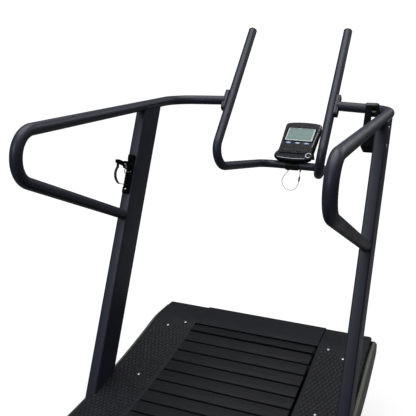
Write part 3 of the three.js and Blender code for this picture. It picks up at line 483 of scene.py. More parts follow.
def piece(name, shapes, slot, body="frame", nodes=(), bevel=0.0, segments=2, angle=32, look=None, place=None):
    """One object from joined shapes, in metres, with its material, body and replaced CAD nodes.

    look names a material other than the slot's own, and place moves every shape.
    """
    corners, faces = [], []
    for shape_corners, shape_faces in [moved(shape, place) for shape in shapes] if place else shapes:
        base = len(corners)
        corners += [(x * MM, y * MM, z * MM) for x, y, z in shape_corners]
        faces += [tuple(base + i for i in face) for face in shape_faces]
    mesh = bpy.data.meshes.new(name)
    mesh.from_pydata(corners, [], faces)
    work = bmesh.new()
    work.from_mesh(mesh)
    bmesh.ops.recalc_face_normals(work, faces=work.faces)
    work.to_mesh(mesh)
    work.free()
    mesh.polygons.foreach_set("use_smooth", [True] * len(mesh.polygons))
    mesh.set_sharp_from_angle(angle=math.radians(angle))
    mesh.materials.append(MATERIALS[look or slot])
    obj = bpy.data.objects.new(name, mesh)
    bpy.context.collection.objects.link(obj)
    if bevel:
        rounding = obj.modifiers.new("rounding", "BEVEL")
        rounding.width = bevel * MM
        rounding.segments = segments
        rounding.angle_limit = math.radians(angle)
        rounding.harden_normals = True
    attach(obj, body)
    if nodes:
        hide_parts(*nodes)
    return obj


ENDS = ("front", "rear")
SIDES = (("right", 1), ("left", -1))
CORNERS = [f"{end}_{side}" for end in ENDS for side, _ in SIDES]


def pair(name, shapes, slot, nodes=(), **options):
    """A right-hand piece and its mirror image. Node names are given without their side."""
    for side, sign in SIDES:
        own = [on_side(shape, sign) for shape in shapes]
        piece(f"{name}_{side}", own, slot, nodes=[f"{n}_{side}" for n in nodes], **options)


def corners_of(node):
    """A node's lowest and highest corners and its middle, in millimetres."""
    low, high = (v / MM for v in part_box(node))
    return low, high, (low + high) / 2


def turned_part(node):
    """A round node's lowest x, middle, radius and width."""
    low, high, middle = corners_of(node)
    return low.x, middle, (high.z - low.z) / 2, high.x - low.x


def keep(node, slot):
    """A CAD node that stays as it is, with its finished material."""
    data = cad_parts[node].data
    data.materials.clear()
    data.materials.append(MATERIALS[slot])


# ---------- the deck's curve ----------
def belt_height(y):
    return CURVE_Z + CURVE_RADIUS - math.sqrt(CURVE_RADIUS ** 2 - (y - CURVE_Y) ** 2)


def belt_slope(y):
    return (y - CURVE_Y) / math.sqrt(CURVE_RADIUS ** 2 - (y - CURVE_Y) ** 2)


def cover_height(y, drop):
    """The deck's curve, levelled past the covers' reach and rounded down at the two ends."""
    offset = abs(y - CURVE_Y)
    run = min(max(0, offset - COVER_REACH), COVER_LEVELLING)
    along = CURVE_Y + min(offset, COVER_REACH)
    z = belt_height(along) - drop + belt_slope(along) * (run - run ** 2 / (2 * COVER_LEVELLING))
    end = DECK_FRONT - y if y > CURVE_Y else y - DECK_REAR
    if end < NOSE_RADIUS:
        z -= NOSE_RADIUS - math.sqrt(max(0, NOSE_RADIUS ** 2 - (NOSE_RADIUS - end) ** 2))
    return z


def short_of_nose(y, drop):
    """The deck's height with its rounded ends left out."""
    return cover_height(min(max(y, DECK_REAR + NOSE_RADIUS), DECK_FRONT - NOSE_RADIUS), drop)


def corner_draw(y):
    """How far the deck's sides are drawn in near its rounded corners."""
    past = CORNER_RADIUS - min(DECK_FRONT - y, y - DECK_REAR)
    if past <= 0:
        return 0
    return CORNER_RADIUS - math.sqrt(CORNER_RADIUS ** 2 - min(past, CORNER_LIMIT) ** 2)


def deck_stations(step):
    """Even stations along the deck, drawn together over the two rounded noses."""
    turn = [NOSE_RADIUS * (1 - c) for c, _ in unit_arc(0, 90, 10)]
    low, high = DECK_REAR + NOSE_RADIUS, DECK_FRONT - NOSE_RADIUS
    count = round((high - low) / step)
    middle = [low + (high - low) * i / count for i in range(1, count)]
    return [DECK_REAR + t for t in turn] + middle + [DECK_FRONT - t for t in reversed(turn)]


# ---------- belt ----------
def belt_loop():
    """The loop of the slats' outer face, in Y and Z: top run, front pulley, sagging return, rear pulley."""
    steps = 200
    tilt = math.asin(BELT_END_REACH / CURVE_RADIUS)
    reach = BELT_END_REACH + BELT_WRAP_RADIUS * math.sin(tilt)
    wheel_z = belt_height(CURVE_Y + BELT_END_REACH) - BELT_WRAP_RADIUS * math.cos(tilt)
    sag_tilt = 2 * BELT_SAG / reach
    span = reach + BELT_WRAP_RADIUS * math.sin(sag_tilt)
    low = wheel_z - BELT_WRAP_RADIUS * math.cos(sag_tilt)
    down, tilt, sag_tilt = -90, math.degrees(tilt), math.degrees(sag_tilt)
    top = arc((CURVE_Y, CURVE_Z + CURVE_RADIUS), CURVE_RADIUS, down - tilt, down + tilt, steps)
    front = arc((CURVE_Y + reach, wheel_z), BELT_WRAP_RADIUS, 90 + tilt, down + sag_tilt, steps)
    back = [(CURVE_Y + span * (1 - 2 * i / steps), low - 4 * BELT_SAG * (i / steps) * (1 - i / steps))
            for i in range(steps + 1)]
    rear = arc((CURVE_Y - reach, wheel_z), BELT_WRAP_RADIUS, down - sag_tilt, down - 180 - tilt, steps)
    return top[:-1] + front[:-1] + back[:-1] + rear[:-1]


def spaced_loop(count, shift):
    """Evenly spaced (y, z, along y, along z) round the loop, and the spacing."""
    loop = belt_loop()
    spans = [math.dist(a, b) for a, b in zip(loop, loop[1:] + loop[:1])]
    total = sum(spans)
    stations = []
    for k in range(count):
        rest = (k + shift) / count * total % total
        i = 0
        while rest > spans[i]:
            rest -= spans[i]
            i += 1
        (ay, az), (by, bz) = loop[i], loop[(i + 1) % len(loop)]
        dy, dz = (by - ay) / spans[i], (bz - az) / spans[i]
        stations.append((ay + dy * rest, az + dz * rest, dy, dz))
    return stations, total / count


def slat(turn, pitch):
    """One slat across the belt, with a rounded crown and slightly drawn-in ends."""
    half, foot, edge = (pitch - SLAT_GAP) / 2, (pitch - SLAT_GAP) / 2 - SLAT_TAPER, SLAT_ROUND
    crown = arc((-half + edge, -edge), edge, 180, 90, 3) + arc((half - edge, -edge), edge, 90, 0, 3)
    outline = [(-foot, -SLAT_THICKNESS), *crown, (foot, -SLAT_THICKNESS)]
    draw = [(0, 1.4), (0.4, 0.4), (1.4, 0)]
    ends = [(x - BELT_LEFT, d) for x, d in draw] + [(BELT_HALF_WIDTH - x, d) for x, d in reversed(draw)]
    rings = [[(x, u * (1 - 0.5 * d / half), v - (d * 0.6 if v > -3 else 0)) for u, v in outline]
             for x, d in ends]
    return moved(loft(rings), turn)


def add_belt():
    """Each slat is its own piece, bolted to a toothed carrier belt near each edge."""
    stations, pitch = spaced_loop(SLAT_COUNT, BELT_PHASE)
    under = Matrix.Translation((0, 0, -SLAT_THICKNESS - CARRIER_THICKNESS)) @ Matrix.Rotation(math.pi, 4, "X")
    for i, (y, z, dy, dz) in enumerate(stations):
        turn = Matrix(((1, 0, 0, 0), (0, dy, -dz, y), (0, dz, dy, z), (0, 0, 0, 1)))
        piece(f"slat_{i + 1:02d}", [slat(turn, pitch)], "slat_rubber", nodes=["slat_belt"] if i == 0 else [])
        bolts = [shifted(hex_bolt(5.5, 3.2), x) for x in (-SLAT_BOLT_X, SLAT_BOLT_X)]
        piece(f"slat_bolts_{i + 1:02d}", bolts, "steel", bevel=0.4, place=turn @ under)
    inner, outer = CARRIER_X
    for side, sign in SIDES:
        belt = carrier(sign * inner, sign * outer, CARRIER_THICKNESS, 2.2)
        piece(f"carrier_belt_{side}", [belt], "rubber")
    strips = ((1 - inner, inner - 1), (outer + 1, BELT_HALF_WIDTH - 2), (-outer - 1, 2 - BELT_HALF_WIDTH))
    piece("carrier_web", [carrier(low, high, 2.5, 0) for low, high in strips], "rubber")


def carrier(low, high, thickness, tooth):
    """A belt behind the slats, with shallow teeth inside; the web closes the gaps between the slats."""
    stations, _ = spaced_loop(SLAT_COUNT * 6, BELT_PHASE)
    near = SLAT_THICKNESS + 0.2
    rings = []
    for k, (y, z, dy, dz) in enumerate(stations):
        deep = SLAT_THICKNESS + thickness - (tooth if k % 2 else 0)
        rings.append([(x, y + dz * depth, z - dy * depth) for x, depth in
                      ((low, near), (high, near), (high, deep), (low, deep))])
    return loft(rings, closed_path=True)


# ---------- fasteners ----------
def hex_bolt(radius, height):
    return lathe([(0, 0), (radius, 0), (radius, height), (0, height)], 6)


def button_head(radius):
    """A button-head screw with a round socket, standing on the origin."""
    dome = [(radius * c, 0.2 + radius * 0.5 * s) for c, s in unit_arc(0, 64, 8)]
    top, socket = dome[-1][1], radius * 0.34
    return lathe([(0, 0), (radius, 0), *dome, (socket, top - 0.1), (socket, top - 1.1), (0, top - 1.1)], 30)


def washer(bore, radius, height, sides=30):
    return lathe([(bore, 0), (radius, 0), (radius, height), (bore, height)], sides)


# ---------- frame ----------
def weld_ring(inside, outside, radius, plane_point, normal, bead):
    """A bead where a round bar meets a plane."""
    start, direction = Vector(outside), (Vector(inside) - Vector(outside)).normalized()
    side = direction.orthogonal().normalized()
    up = direction.cross(side)
    path = []
    for u, v in circle(radius, 40):
        point = start + side * u + up * v
        reach = (Vector(plane_point) - point).dot(normal) / direction.dot(normal)
        path.append(point + direction * reach)
    return sweep(path, circle(bead, 8), closed=True)


def rail_x(y):
    """Where the handrail's upper run is, at a y value."""
    (x1, y1, _), (x2, y2, _) = RAIL_ROUTE[1], RAIL_ROUTE[2]
    return x1 + (x2 - x1) * (y - y1) / (y2 - y1)


def saddle_welds():
    """Beads where the upright's top meets the rail that lies in it."""
    beads = []
    back = UPRIGHT_FOOT_Y + UPRIGHT_LEAN * (UPRIGHT_TOP - 6)
    for y in (back + 0.5, back + UPRIGHT_DEPTH + 1.5):
        hoop = arc((rail_x(y), RAIL_HEIGHT), RAIL_RADIUS, 200, 340, 18)
        beads.append(sweep([(x, y + UPRIGHT_LEAN * (z - UPRIGHT_TOP), z) for x, z in hoop], circle(2.2, 8)))
    for side in (-1, 1):
        path = [(rail_x(y) + side * (RAIL_RADIUS + 0.3), y, UPRIGHT_TOP) for y in
                (back + 6, back + UPRIGHT_DEPTH - 4)]
        beads.append(sweep(path, circle(1.6, 8)))
    return beads


def plate_shape(low_x, high_x):
    """A joint plate between two x values, leaned like the handlebar's arm."""
    outline = rounded(-PLATE_WIDTH / 2, PLATE_WIDTH / 2, -PLATE_LENGTH / 2, PLATE_LENGTH / 2, 9)
    return moved(along_x(outline, low_x, high_x), plate_frame())


def plate_frame():
    return Matrix.Translation((0, PLATE_Y, PLATE_Z)) @ Matrix.Rotation(-math.radians(PLATE_LEAN), 4, "X")


def add_tubes():
    low, high = UPRIGHT_X - UPRIGHT_WIDTH / 2, UPRIGHT_X + UPRIGHT_WIDTH / 2
    outline = rounded(low, high, UPRIGHT_FOOT_Y, UPRIGHT_FOOT_Y + UPRIGHT_DEPTH, UPRIGHT_CORNER)
    upright = slab(outline, UPRIGHT_BOTTOM, UPRIGHT_TOP, UPRIGHT_LEAN)
    pair("upright", [upright], "powder_coat", nodes=["upright"])
    rail = sweep(bent(RAIL_ROUTE, RAIL_BENDS), circle(RAIL_RADIUS, 40))
    pair("handrail", [rail], "powder_coat", nodes=["handrail"])
    face = Vector((0, -1, UPRIGHT_LEAN)).normalized()
    rear = (UPRIGHT_X, UPRIGHT_FOOT_Y, 0)
    end_weld = weld_ring(RAIL_ROUTE[4], RAIL_ROUTE[3], RAIL_RADIUS, rear, face, 2.4)
    pair("rail_welds", [*saddle_welds(), end_weld], "powder_coat")
    half = [ARM_TIP, ARM_FOOT, CROSS_BAR]
    route = half + [(-x, y, z) for x, y, z in reversed(half)]
    bar = sweep(bent(route, HANDLEBAR_BENDS + HANDLEBAR_BENDS[::-1]), circle(ARM_RADIUS, 40))
    piece("u_handlebar_tube", [bar], "powder_coat", nodes=["u_handlebar"])
    add_joint_plates()
    rim = ARM_RADIUS + 0.2
    dome = [(rim * c, 5 + 6.6 * s) for c, s in unit_arc(0, 84, 14)]
    cap = lathe([(0, 0), (rim - 0.8, 0), (rim, 0.8), *dome, (0, 11.6)])
    along = Vector(ARM_TIP) - Vector(ARM_FOOT)
    pair("arm_cap", [aimed(cap, ARM_TIP, along)], "black_plastic", nodes=["arm_cap"])


def add_joint_plates():
    """A plate on the rail's end and one on the handlebar, held by two bolts."""
    outside = RAIL_END_X + 0.2
    joint = outside - PLATE_THICKNESS
    pair("rail_plate", [plate_shape(joint, outside)], "powder_coat", bevel=1)
    pair("handlebar_plate", [plate_shape(BAR_PLATE_X, joint - 0.3)], "powder_coat", bevel=1)
    bolts = []
    for reach in (-PLATE_BOLT_REACH, PLATE_BOLT_REACH):
        _, y, z = plate_frame() @ Vector((0, 0, reach))
        bolts.append(aimed(button_head(6), (outside, y, z), (1, 0, 0)))
        bolts.append(aimed(hex_bolt(6.6, 5.5), (BAR_PLATE_X - 0.2, y, z), (-1, 0, 0)))
    pair("plate_bolts", bolts, "black_plastic", bevel=0.3)


# ---------- covers ----------
TREAD_X, TREAD_FRONT, TREAD_REAR = (266, 402), 436, -1015
TREAD_PITCH, TREAD_RISE, LOZENGE = (15, 32), 2, (5.6, 12.5)
SCREW_CLEARANCE = 17
SCREWS = [(349, 429), (288.5, 465), (319, 123), (349, -250), (288.5, -330), (319, -640), (349, -930),
          (288.5, -960)]


def footrest():
    """A shell with a rounded outer edge, drawn in at the deck's corners."""
    rings = []
    wall, inside = FOOTREST_WALL, FOOTREST_INNER + FOOTREST_WALL
    for y in deck_stations(12):
        z, edge = cover_height(y, FOOTREST_DROP), FOOTREST_OUTER - corner_draw(y)
        floor = min(z, short_of_nose(y, FOOTREST_DROP)) - FOOTREST_SKIRT
        outer = arc((edge - 8, z - 8), 8, 90, 0, 7)
        inner = arc((FOOTREST_INNER + 1.2, z - 1.2), 1.2, 180, 90, 3)
        ring = [(FOOTREST_INNER, z - FOOTREST_LIP), *inner, *outer, (edge, floor), (edge - wall, floor),
                (edge - wall, z - 10), (edge - 11, z - wall), (inside, z - wall), (inside, z - FOOTREST_LIP)]
        rings.append([(x, y, height) for x, height in ring])
    return loft(rings)


def lozenge(x, y):
    """One raised lozenge of the tread, long in Y, set into the foot-rest's skin."""
    rings = []
    for grow, lift in ((1, -0.4), (0.96, 0.3), (0.72, TREAD_RISE), (0.3, TREAD_RISE + 0.15)):
        ring = []
        for c, s in circle(1, 12):
            reach = grow / (abs(c) + abs(s)) ** 0.75
            u, v = x + c * reach * LOZENGE[0], y + s * reach * LOZENGE[1]
            ring.append((u, v, cover_height(v, FOOTREST_DROP) + lift))
        rings.append(ring)
    return loft(rings)


def tread():
    """Staggered rows of lozenges over the foot-rest, left out round each screw."""
    (width, length), (low, high) = TREAD_PITCH, TREAD_X
    rows = round(2 * (TREAD_FRONT - TREAD_REAR) / length)
    columns = round((high - low) / width)
    shapes = []
    for row in range(rows + 1):
        y = TREAD_REAR + row * length / 2
        for column in range(columns + row % 2):
            x = low + (column + (0 if row % 2 else 0.5)) * width
            if all(math.hypot(x - sx, y - sy) > SCREW_CLEARANCE for sx, sy in SCREWS):
                shapes.append(lozenge(x, y))
    return shapes


def fairing_foot(y, z):
    """The height of the fairing's lower edge, which curves up and flares towards both ends."""
    away = y - CURVE_Y
    flare = 50 * max(0, (abs(away) - FAIRING_FLARE) / 300) ** 2
    return min(FAIRING_LOW + away ** 2 / FAIRING_BOW + flare, short_of_nose(y, FOOTREST_DROP) - 52, z - 24)


def fairing():
    """A side skin with a rounded crown and a shelf that closes the groove beside the foot-rest."""
    rings = []
    wide, tall = FAIRING_CROWN
    for y in deck_stations(12):
        z, draw = cover_height(y, FOOTREST_DROP) - FAIRING_STEP, corner_draw(y)
        foot = fairing_foot(y, z)
        crown = [(FAIRING_OUTER - wide * (1 - u), z - tall * (1 - v)) for u, v in unit_arc(0, 90, 9)]
        shelf = [(FAIRING_WALL, z - SHELF_TOP), (SHELF_EDGE, z - SHELF_TOP), (SHELF_EDGE, z - SHELF_BOTTOM),
                 (FAIRING_WALL, z - SHELF_BOTTOM)]
        ring = [(FAIRING_OUTER - 1, foot), (FAIRING_OUTER, foot + 1), *crown, (FAIRING_LIP + 0.8, z),
                (FAIRING_LIP, z - 0.8), (FAIRING_LIP, z - 4), (FAIRING_WALL, z - 8), *shelf,
                (FAIRING_WALL, foot)]
        rings.append([(x - draw, y, height) for x, height in ring])
    return loft(rings)


def cover_line(sign):
    """An end cover's outer line in Y and Z: level top, rounded nose and tucked-in underside."""
    edge = CURVE_Y + sign * (COVER_REACH + 3)
    end = DECK_FRONT if sign > 0 else DECK_REAR
    nose = [NOSE_RADIUS * (1 - c) for c, _ in unit_arc(90, 0, 9)]
    flat = [edge + (end - sign * NOSE_RADIUS - edge) * i / 12 for i in range(12)]
    top = [(y, cover_height(y, COVER_DROP)) for y in flat + [end - sign * t for t in nose]]
    brow, low = top[-1][1], corners_of("front_axle")[2].z - 30
    chin = [(end - sign * back, brow - down) for back, down in ((0, 14), (6, 30), (22, 50), (62, brow - low))]
    return [Vector(p) for p in top + chin]


def drawn_in(line, distance):
    """The same line, moved sideways by a distance."""
    moved_line = []
    for i, point in enumerate(line):
        along = (line[min(i + 1, len(line) - 1)] - line[max(i - 1, 0)]).normalized()
        moved_line.append(point + distance * Vector((along.y, -along.x)))
    return moved_line


def end_cover(sign):
    outer = cover_line(sign)
    inner = drawn_in(outer, sign * COVER_THICKNESS)
    return along_x([tuple(p) for p in outer + inner[::-1]], -COVER_HALF_WIDTH, COVER_HALF_WIDTH)


def cover_cheek(sign):
    """A thin wall that closes one side of an end cover."""
    outline = drawn_in(cover_line(sign), sign * (COVER_THICKNESS - 0.4))
    return along_x([tuple(p) for p in outline], COVER_HALF_WIDTH - 1.6, COVER_HALF_WIDTH - 0.2)


def add_covers():
    pair("footrest", [footrest()], "deck_plastic", nodes=["footrest"], angle=50)
    # The lozenges are lighter than the foot-rest as a painted highlight on the raised tread.
    pair("tread", tread(), "deck_plastic", look="tread_highlight_plastic")
    pair("side_fairing", [fairing()], "fairing_plastic", nodes=["side_fairing"])
    for end, sign in zip(ENDS, (1, -1)):
        piece(f"{end}_cover_sheet", [end_cover(sign)], "deck_plastic", nodes=[f"{end}_cover"], bevel=1.2)
        pair(f"{end}_cover_cheek", [cover_cheek(sign)], "deck_plastic")
    for i, (x, y) in enumerate(SCREWS):
        z = cover_height(y, FOOTREST_DROP)
        normal = (0, -belt_slope(y), 1)
        cup = lathe([(5.6, 0), (8.6, 0), (8.6, 1.0), (7.8, 1.4), (5.6, 0.6)], 30)
        pair(f"screw_cup_{i + 1}", [aimed(cup, (x, y, z), normal)], "black_plastic")
        pair(f"deck_screw_{i + 1}", [aimed(button_head(5.4), (x, y, z), normal)], "steel")


# ---------- running gear and base ----------
def on_x(profile, low, centre):
    """A turned shape along X that starts at a low x value."""
    turn = Matrix.Translation((low, centre.y, centre.z)) @ Matrix.Rotation(math.pi / 2, 4, "Y")
    return moved(lathe(profile), turn)


def add_drum(end):
    """A shaft with a toothed pulley at each end, held in two bearing housings."""
    body = f"{end}_drum"
    low_x, middle, radius, length = turned_part(f"{end}_axle")
    shaft = on_x(spool([(0, 0), (radius - 1.5, 0), (radius, 1.5)], length), low_x, middle)
    piece(f"{end}_shaft", [shaft], "steel", body=body, nodes=[f"{end}_axle"])
    for side, sign in SIDES:
        node = f"{end}_pulley_{side}"
        low_x, middle, rim, width = turned_part(node)
        web = [(12.9, 0), (24, 0), (26, 2), (rim - 9, 6), (rim - 7, 2), (rim - 3, 2),
               (rim - 3, width - 2), (rim - 7, width - 2), (rim - 9, width / 2 + 2), (26, width / 2 + 4),
               (24, width), (12.9, width)]
        wheel = [toothed_rim(rim, width, low_x, middle), on_x(web, low_x, middle)]
        piece(f"{node}_wheel", wheel, "grey_nylon", body=body, nodes=[node])
        add_housing(end, side, sign)


def toothed_rim(rim, width, low_x, middle):
    count = 84
    outer = [(rim - (1.6 if i % 4 in (2, 3) else 0), 2 * math.pi * i / count) for i in range(count)]
    ring = [(middle.y + r * math.cos(a), middle.z + r * math.sin(a)) for r, a in outer]
    bore = [(middle.y + (rim - 5) * math.cos(a), middle.z + (rim - 5) * math.sin(a)) for _, a in outer]
    rings = [[(x, *p) for p in line] for x, line in
             ((low_x, bore), (low_x, ring), (low_x + width, ring), (low_x + width, bore))]
    return loft(rings, closed_path=True)


def add_housing(end, side, sign):
    """A square flange with a round boss, and a bolt in each corner. One holds the one-way bearing."""
    node = f"{end}_bearing_housing_{side}"
    low, high, middle = corners_of(node)
    inside, outside = sorted((abs(low.x), abs(high.x)))
    flange = box_bar(32, 32, 9, inside, inside + 11, middle)
    bore, depth = 25 if (end, side) == ("front", "left") else 13.2, outside - inside
    boss = on_x([(bore, 8), (28, 8), (28, depth - 2), (26, depth), (bore, depth)], inside, middle)
    bolts = [aimed(hex_bolt(6, 4.5), (inside + 11, middle.y + y, middle.z + z), (1, 0, 0))
             for y in (-23.5, 23.5) for z in (-23.5, 23.5)]
    piece(f"{end}_housing_{side}", [on_side(s, sign) for s in (flange, boss)], "frame_coat", bevel=1,
          nodes=[node])
    piece(f"{end}_housing_bolts_{side}", [on_side(b, sign) for b in bolts], "steel", bevel=0.4)


def add_running_gear():
    add_drum("front")
    add_drum("rear")
    low_x, middle, _, width = turned_part("one_way_bearing")
    race = on_x([(13.6, 0), (23.4, 0), (23.8, 0.6), (23.8, width), (13.6, width)], low_x, middle)
    piece("one_way_bearing_race", [race], "steel", nodes=["one_way_bearing"])
    for corner in CORNERS:
        node = f"guide_roller_{corner}"
        low_x, middle, radius, width = turned_part(node)
        roller = spool([(8.5, 0), (radius - 1, 0), (radius, 1)], width)
        piece(f"{node}_tyre", [on_x(roller, low_x, middle)], "grey_nylon", body=node, nodes=[node])
    for side, _ in SIDES:
        node = f"transport_wheel_{side}"
        low_x, middle, radius, width = turned_part(node)
        tyre = spool([(20, 2), (radius - 7, 0), (radius - 2, 1.5), (radius, 6)], width)
        hub = spool([(8.1, 0), (14, 0), (15, 3), (20.5, 4)], width)
        piece(f"{node}_tyre", [on_x(tyre, low_x, middle)], "rubber", body=node, nodes=[node])
        piece(f"{node}_hub", [on_x(hub, low_x, middle)], "grey_nylon", body=node)


def add_base():
    low, high, middle = corners_of("outrigger_beam")
    tube = box_bar(62, 15, 5, low.x + 3, high.x - 3, middle)
    plug = box_bar(61.5, 14.5, 4.5, high.x - 8, high.x, middle)
    piece("outrigger_tube", [tube], "frame_coat", nodes=["outrigger_beam"])
    pair("outrigger_plug", [plug], "black_plastic", bevel=1.2)
    for end in ENDS:
        low, high, middle = corners_of(f"cross_tube_{end}")
        tube = box_bar(20, 14, 4, low.x, high.x, middle)
        piece(f"cross_tube_{end}_bar", [tube], "frame_coat", nodes=[f"cross_tube_{end}"])
    for corner in CORNERS:
        add_foot(f"levelling_foot_{corner}")
    for side, sign in SIDES:
        add_base_rail(side, sign)
        keep(f"side_frame_{side}", "frame_coat")


def add_foot(node):
    """A rubber pad on a plain stem with a lock nut."""
    _, high, middle = corners_of(node)
    pad = lathe([(0, 0), (24, 0), (26, 2), (26, 9), (24, 11), (12, 15), (0, 15)])
    stem = lathe([(0, 15), (11, 15), (9, 18), (6, 19), (6, high.z), (0, high.z)])
    nut = shifted(washer(6.1, 10, 9, 6), z=22)
    place = Matrix.Translation((middle.x, middle.y, 0))
    piece(f"{node}_pad", [pad], "rubber", body=node, nodes=[node], place=place)
    piece(f"{node}_stem", [stem, nut], "steel", body=node, bevel=0.5, place=place)


def add_base_rail(side, sign):
    """A box tube with a fork at its front end that holds a transport wheel."""
    low, high, _ = corners_of(f"base_rail_{side}")
    wheel = corners_of(f"transport_wheel_{side}")[2]
    inner, outer = sorted((abs(low.x), abs(high.x)))
    front, bottom, top, width = wheel.y - 34, UPRIGHT_BOTTOM, high.z, outer - inner
    tube = loft([[(x, y, z) for x, z in rounded(inner, outer, bottom, top, 4)] for y in (low.y + 3, front)])
    plug = loft([[(x, y, z) for x, z in rounded(inner + 1, outer - 1, bottom + 1, top - 1, 4)]
                 for y in (low.y, low.y + 5)])
    tail = arc((wheel.y, wheel.z), 16, -150, 40, 14)
    cheek = [(front - 20, top - 2), (front - 20, bottom), *tail, (front, top - 2)]
    cheeks = [along_x(cheek, inner, inner + 4), along_x(cheek, outer - 4, outer)]
    pin = on_x(spool([(0, 0), (9, 0), (9, 3), (7.7, 3)], width + 4), inner - 2, wheel)
    for name, shapes, slot, options in (
            ("base_tube", [tube], "frame_coat", {"nodes": [f"base_rail_{side}"]}),
            ("base_fork", cheeks, "frame_coat", {"bevel": 0.8}),
            ("base_plug", [plug], "black_plastic", {"bevel": 1}),
            ("wheel_pin", [pin], "steel", {"bevel": 0.4})):
        piece(f"{name}_{side}", [on_side(shape, sign) for shape in shapes], slot, **options)


def add_sensor():
    low, high, middle = corners_of("speed_sensor")
    body = box_bar(8, 15, 3, low.x, high.x, middle)
    piece("speed_sensor_body", [body], "black_plastic", nodes=["speed_sensor"], bevel=0.8)


# ---------- console ----------
CONSOLE = (Matrix.Translation((0, CONSOLE_Y, CONSOLE_Z))
           @ Matrix.Rotation(math.radians(CONSOLE_TILT), 4, "X"))
# The right half of the face's outline: a foot with a bulge, a narrow waist, a flank and half an arch.
CONSOLE_HALF = [(52, -38), (70, -34), (80, -26), (83, -15), (81.5, -4), (76.5, 6), (73, 18), (73, 40),
                (75.5, 90), (79, 150), (81, 186), (79.5, 196), (73, 202.5), (52, 207.5), (27, 210.2),
                (0, CONSOLE_TOP)]
CONSOLE_REACH = (80, 123)  # the outline's half width and half height, which set how an inset scales it
CONSOLE_MIDDLE = 88


def console_piece(name, shapes, slot="console_plastic", **options):
    piece(name, shapes, slot, place=CONSOLE, **options)


def console_outline(inset=0.0):
    across, along = (1 - inset / reach for reach in CONSOLE_REACH)
    loop = CONSOLE_HALF + [(-x, y) for x, y in reversed(CONSOLE_HALF[:-1])]
    return [(x * across, CONSOLE_MIDDLE + (y - CONSOLE_MIDDLE) * along) for x, y in loop]


def console_loft(levels):
    """A skin through the face's outline at levels of (inset, z)."""
    return loft([[(x, y, z) for x, y in console_outline(inset)] for inset, z in levels])


def tray_ring(inset, lift):
    """A ring of the deep tray, whose floor slopes from above its step to its top."""
    slope = (TRAY_TOP_DEPTH - TRAY_DEEP) / (CONSOLE_TOP - TRAY_STEP)
    ring = [(x, max(y, TRAY_STEP + inset)) for x, y in console_outline(inset)]
    return [(x, y, TRAY_DEEP + slope * (y - TRAY_STEP) + lift) for x, y in ring]


def add_console():
    stepped = console_loft(((9, -24), (4, -22), (1.2, -16), (0, -9), (0, -7.3)))
    console_piece("console_rear_tray", [stepped], nodes=["console_rear_shell"])
    top_ring = [(x, y, -20) for x, y, _ in tray_ring(1.5, 0)]
    back = loft([tray_ring(9, 0.3), tray_ring(4, 1.5), tray_ring(1.5, 6), top_ring])
    console_piece("console_deep_tray", [back], look="matt_black_and_shade")
    crown = console_loft(((0, -6.7), (0, -4.5), (0.5, -2.6), (1.6, -1), (3.4, -0.1), (5, 0)))
    console_piece("console_face", [crown], nodes=["console_front_shell"])
    add_display()
    add_keys()
    add_console_foot()
    add_console_trim()
    keep("console_bracket", "black_plastic")


def add_display():
    """A bright bezel in a black surround, round a window with faint cell lines."""
    bezel = frame_shape(rounded(-60.5, 60.5, 80, 164.5, 4), rounded(-54.5, 54.5, 85.5, 162, 2), 0, 2.0)
    console_piece("display_bezel", [bezel], "steel", bevel=0.6, look="silver_and_highlight")
    hood = frame_shape(rounded(-66.5, 66.5, 74, 171, 6), rounded(-61.8, 61.8, 78.7, 166.3, 4), 0, 1.5)
    console_piece("display_surround", [hood], "black_plastic", bevel=0.5, look="matt_black_and_shade")
    window = slab(rounded(-59.5, 59.5, 81, 164, 3), -0.2, 0.9)
    console_piece("display_panel", [window], "lcd_window", nodes=["lcd_lens"])
    cells = [slab(rounded(x - 24, x + 24, y - 0.35, y + 0.35, 0.3, 2), 0.9, 1.0)
             for y in (98, 123, 147) for x in (-28, 28)]
    cells.append(slab(rounded(-0.35, 0.35, 90, 155, 0.3, 2), 0.9, 1.0))
    console_piece("display_cells", cells, "lcd_window", look="display_ghost")


def key_outline(x, half_width, half_height):
    return [(x + u * half_width, BUTTON_ALONG + v * half_height) for u, v in circle(1, 28)]


def add_keys():
    """Three oval caps with domed tops. The black band round each has a height but no width; it is painted
    shade in the gap round the cap.
    """
    for place, side in ((-1, "left"), (0, "middle"), (1, "right")):
        x, node = place * BUTTON_SPACING, f"console_button_{side}"
        cap = loft([[(*point, z) for point in key_outline(x, 12.8 * scale, 6.8 * scale)]
                    for scale, z in ((1, -3), (1, 1.4), (0.93, 2.1), (0.78, 2.6), (0.4, 2.85))])
        console_piece(f"key_cap_{side}", [cap], "button_plastic", body=node, nodes=[node])
        # A black band as painted shade in the gap round the cap.
        band = key_outline(x, 13.5, 7.5)
        console_piece(f"key_gap_shade_{side}", [frame_shape(band, band, 0, 1.1)], "black_plastic", bevel=0.4,
                      look="matt_black_and_shade")


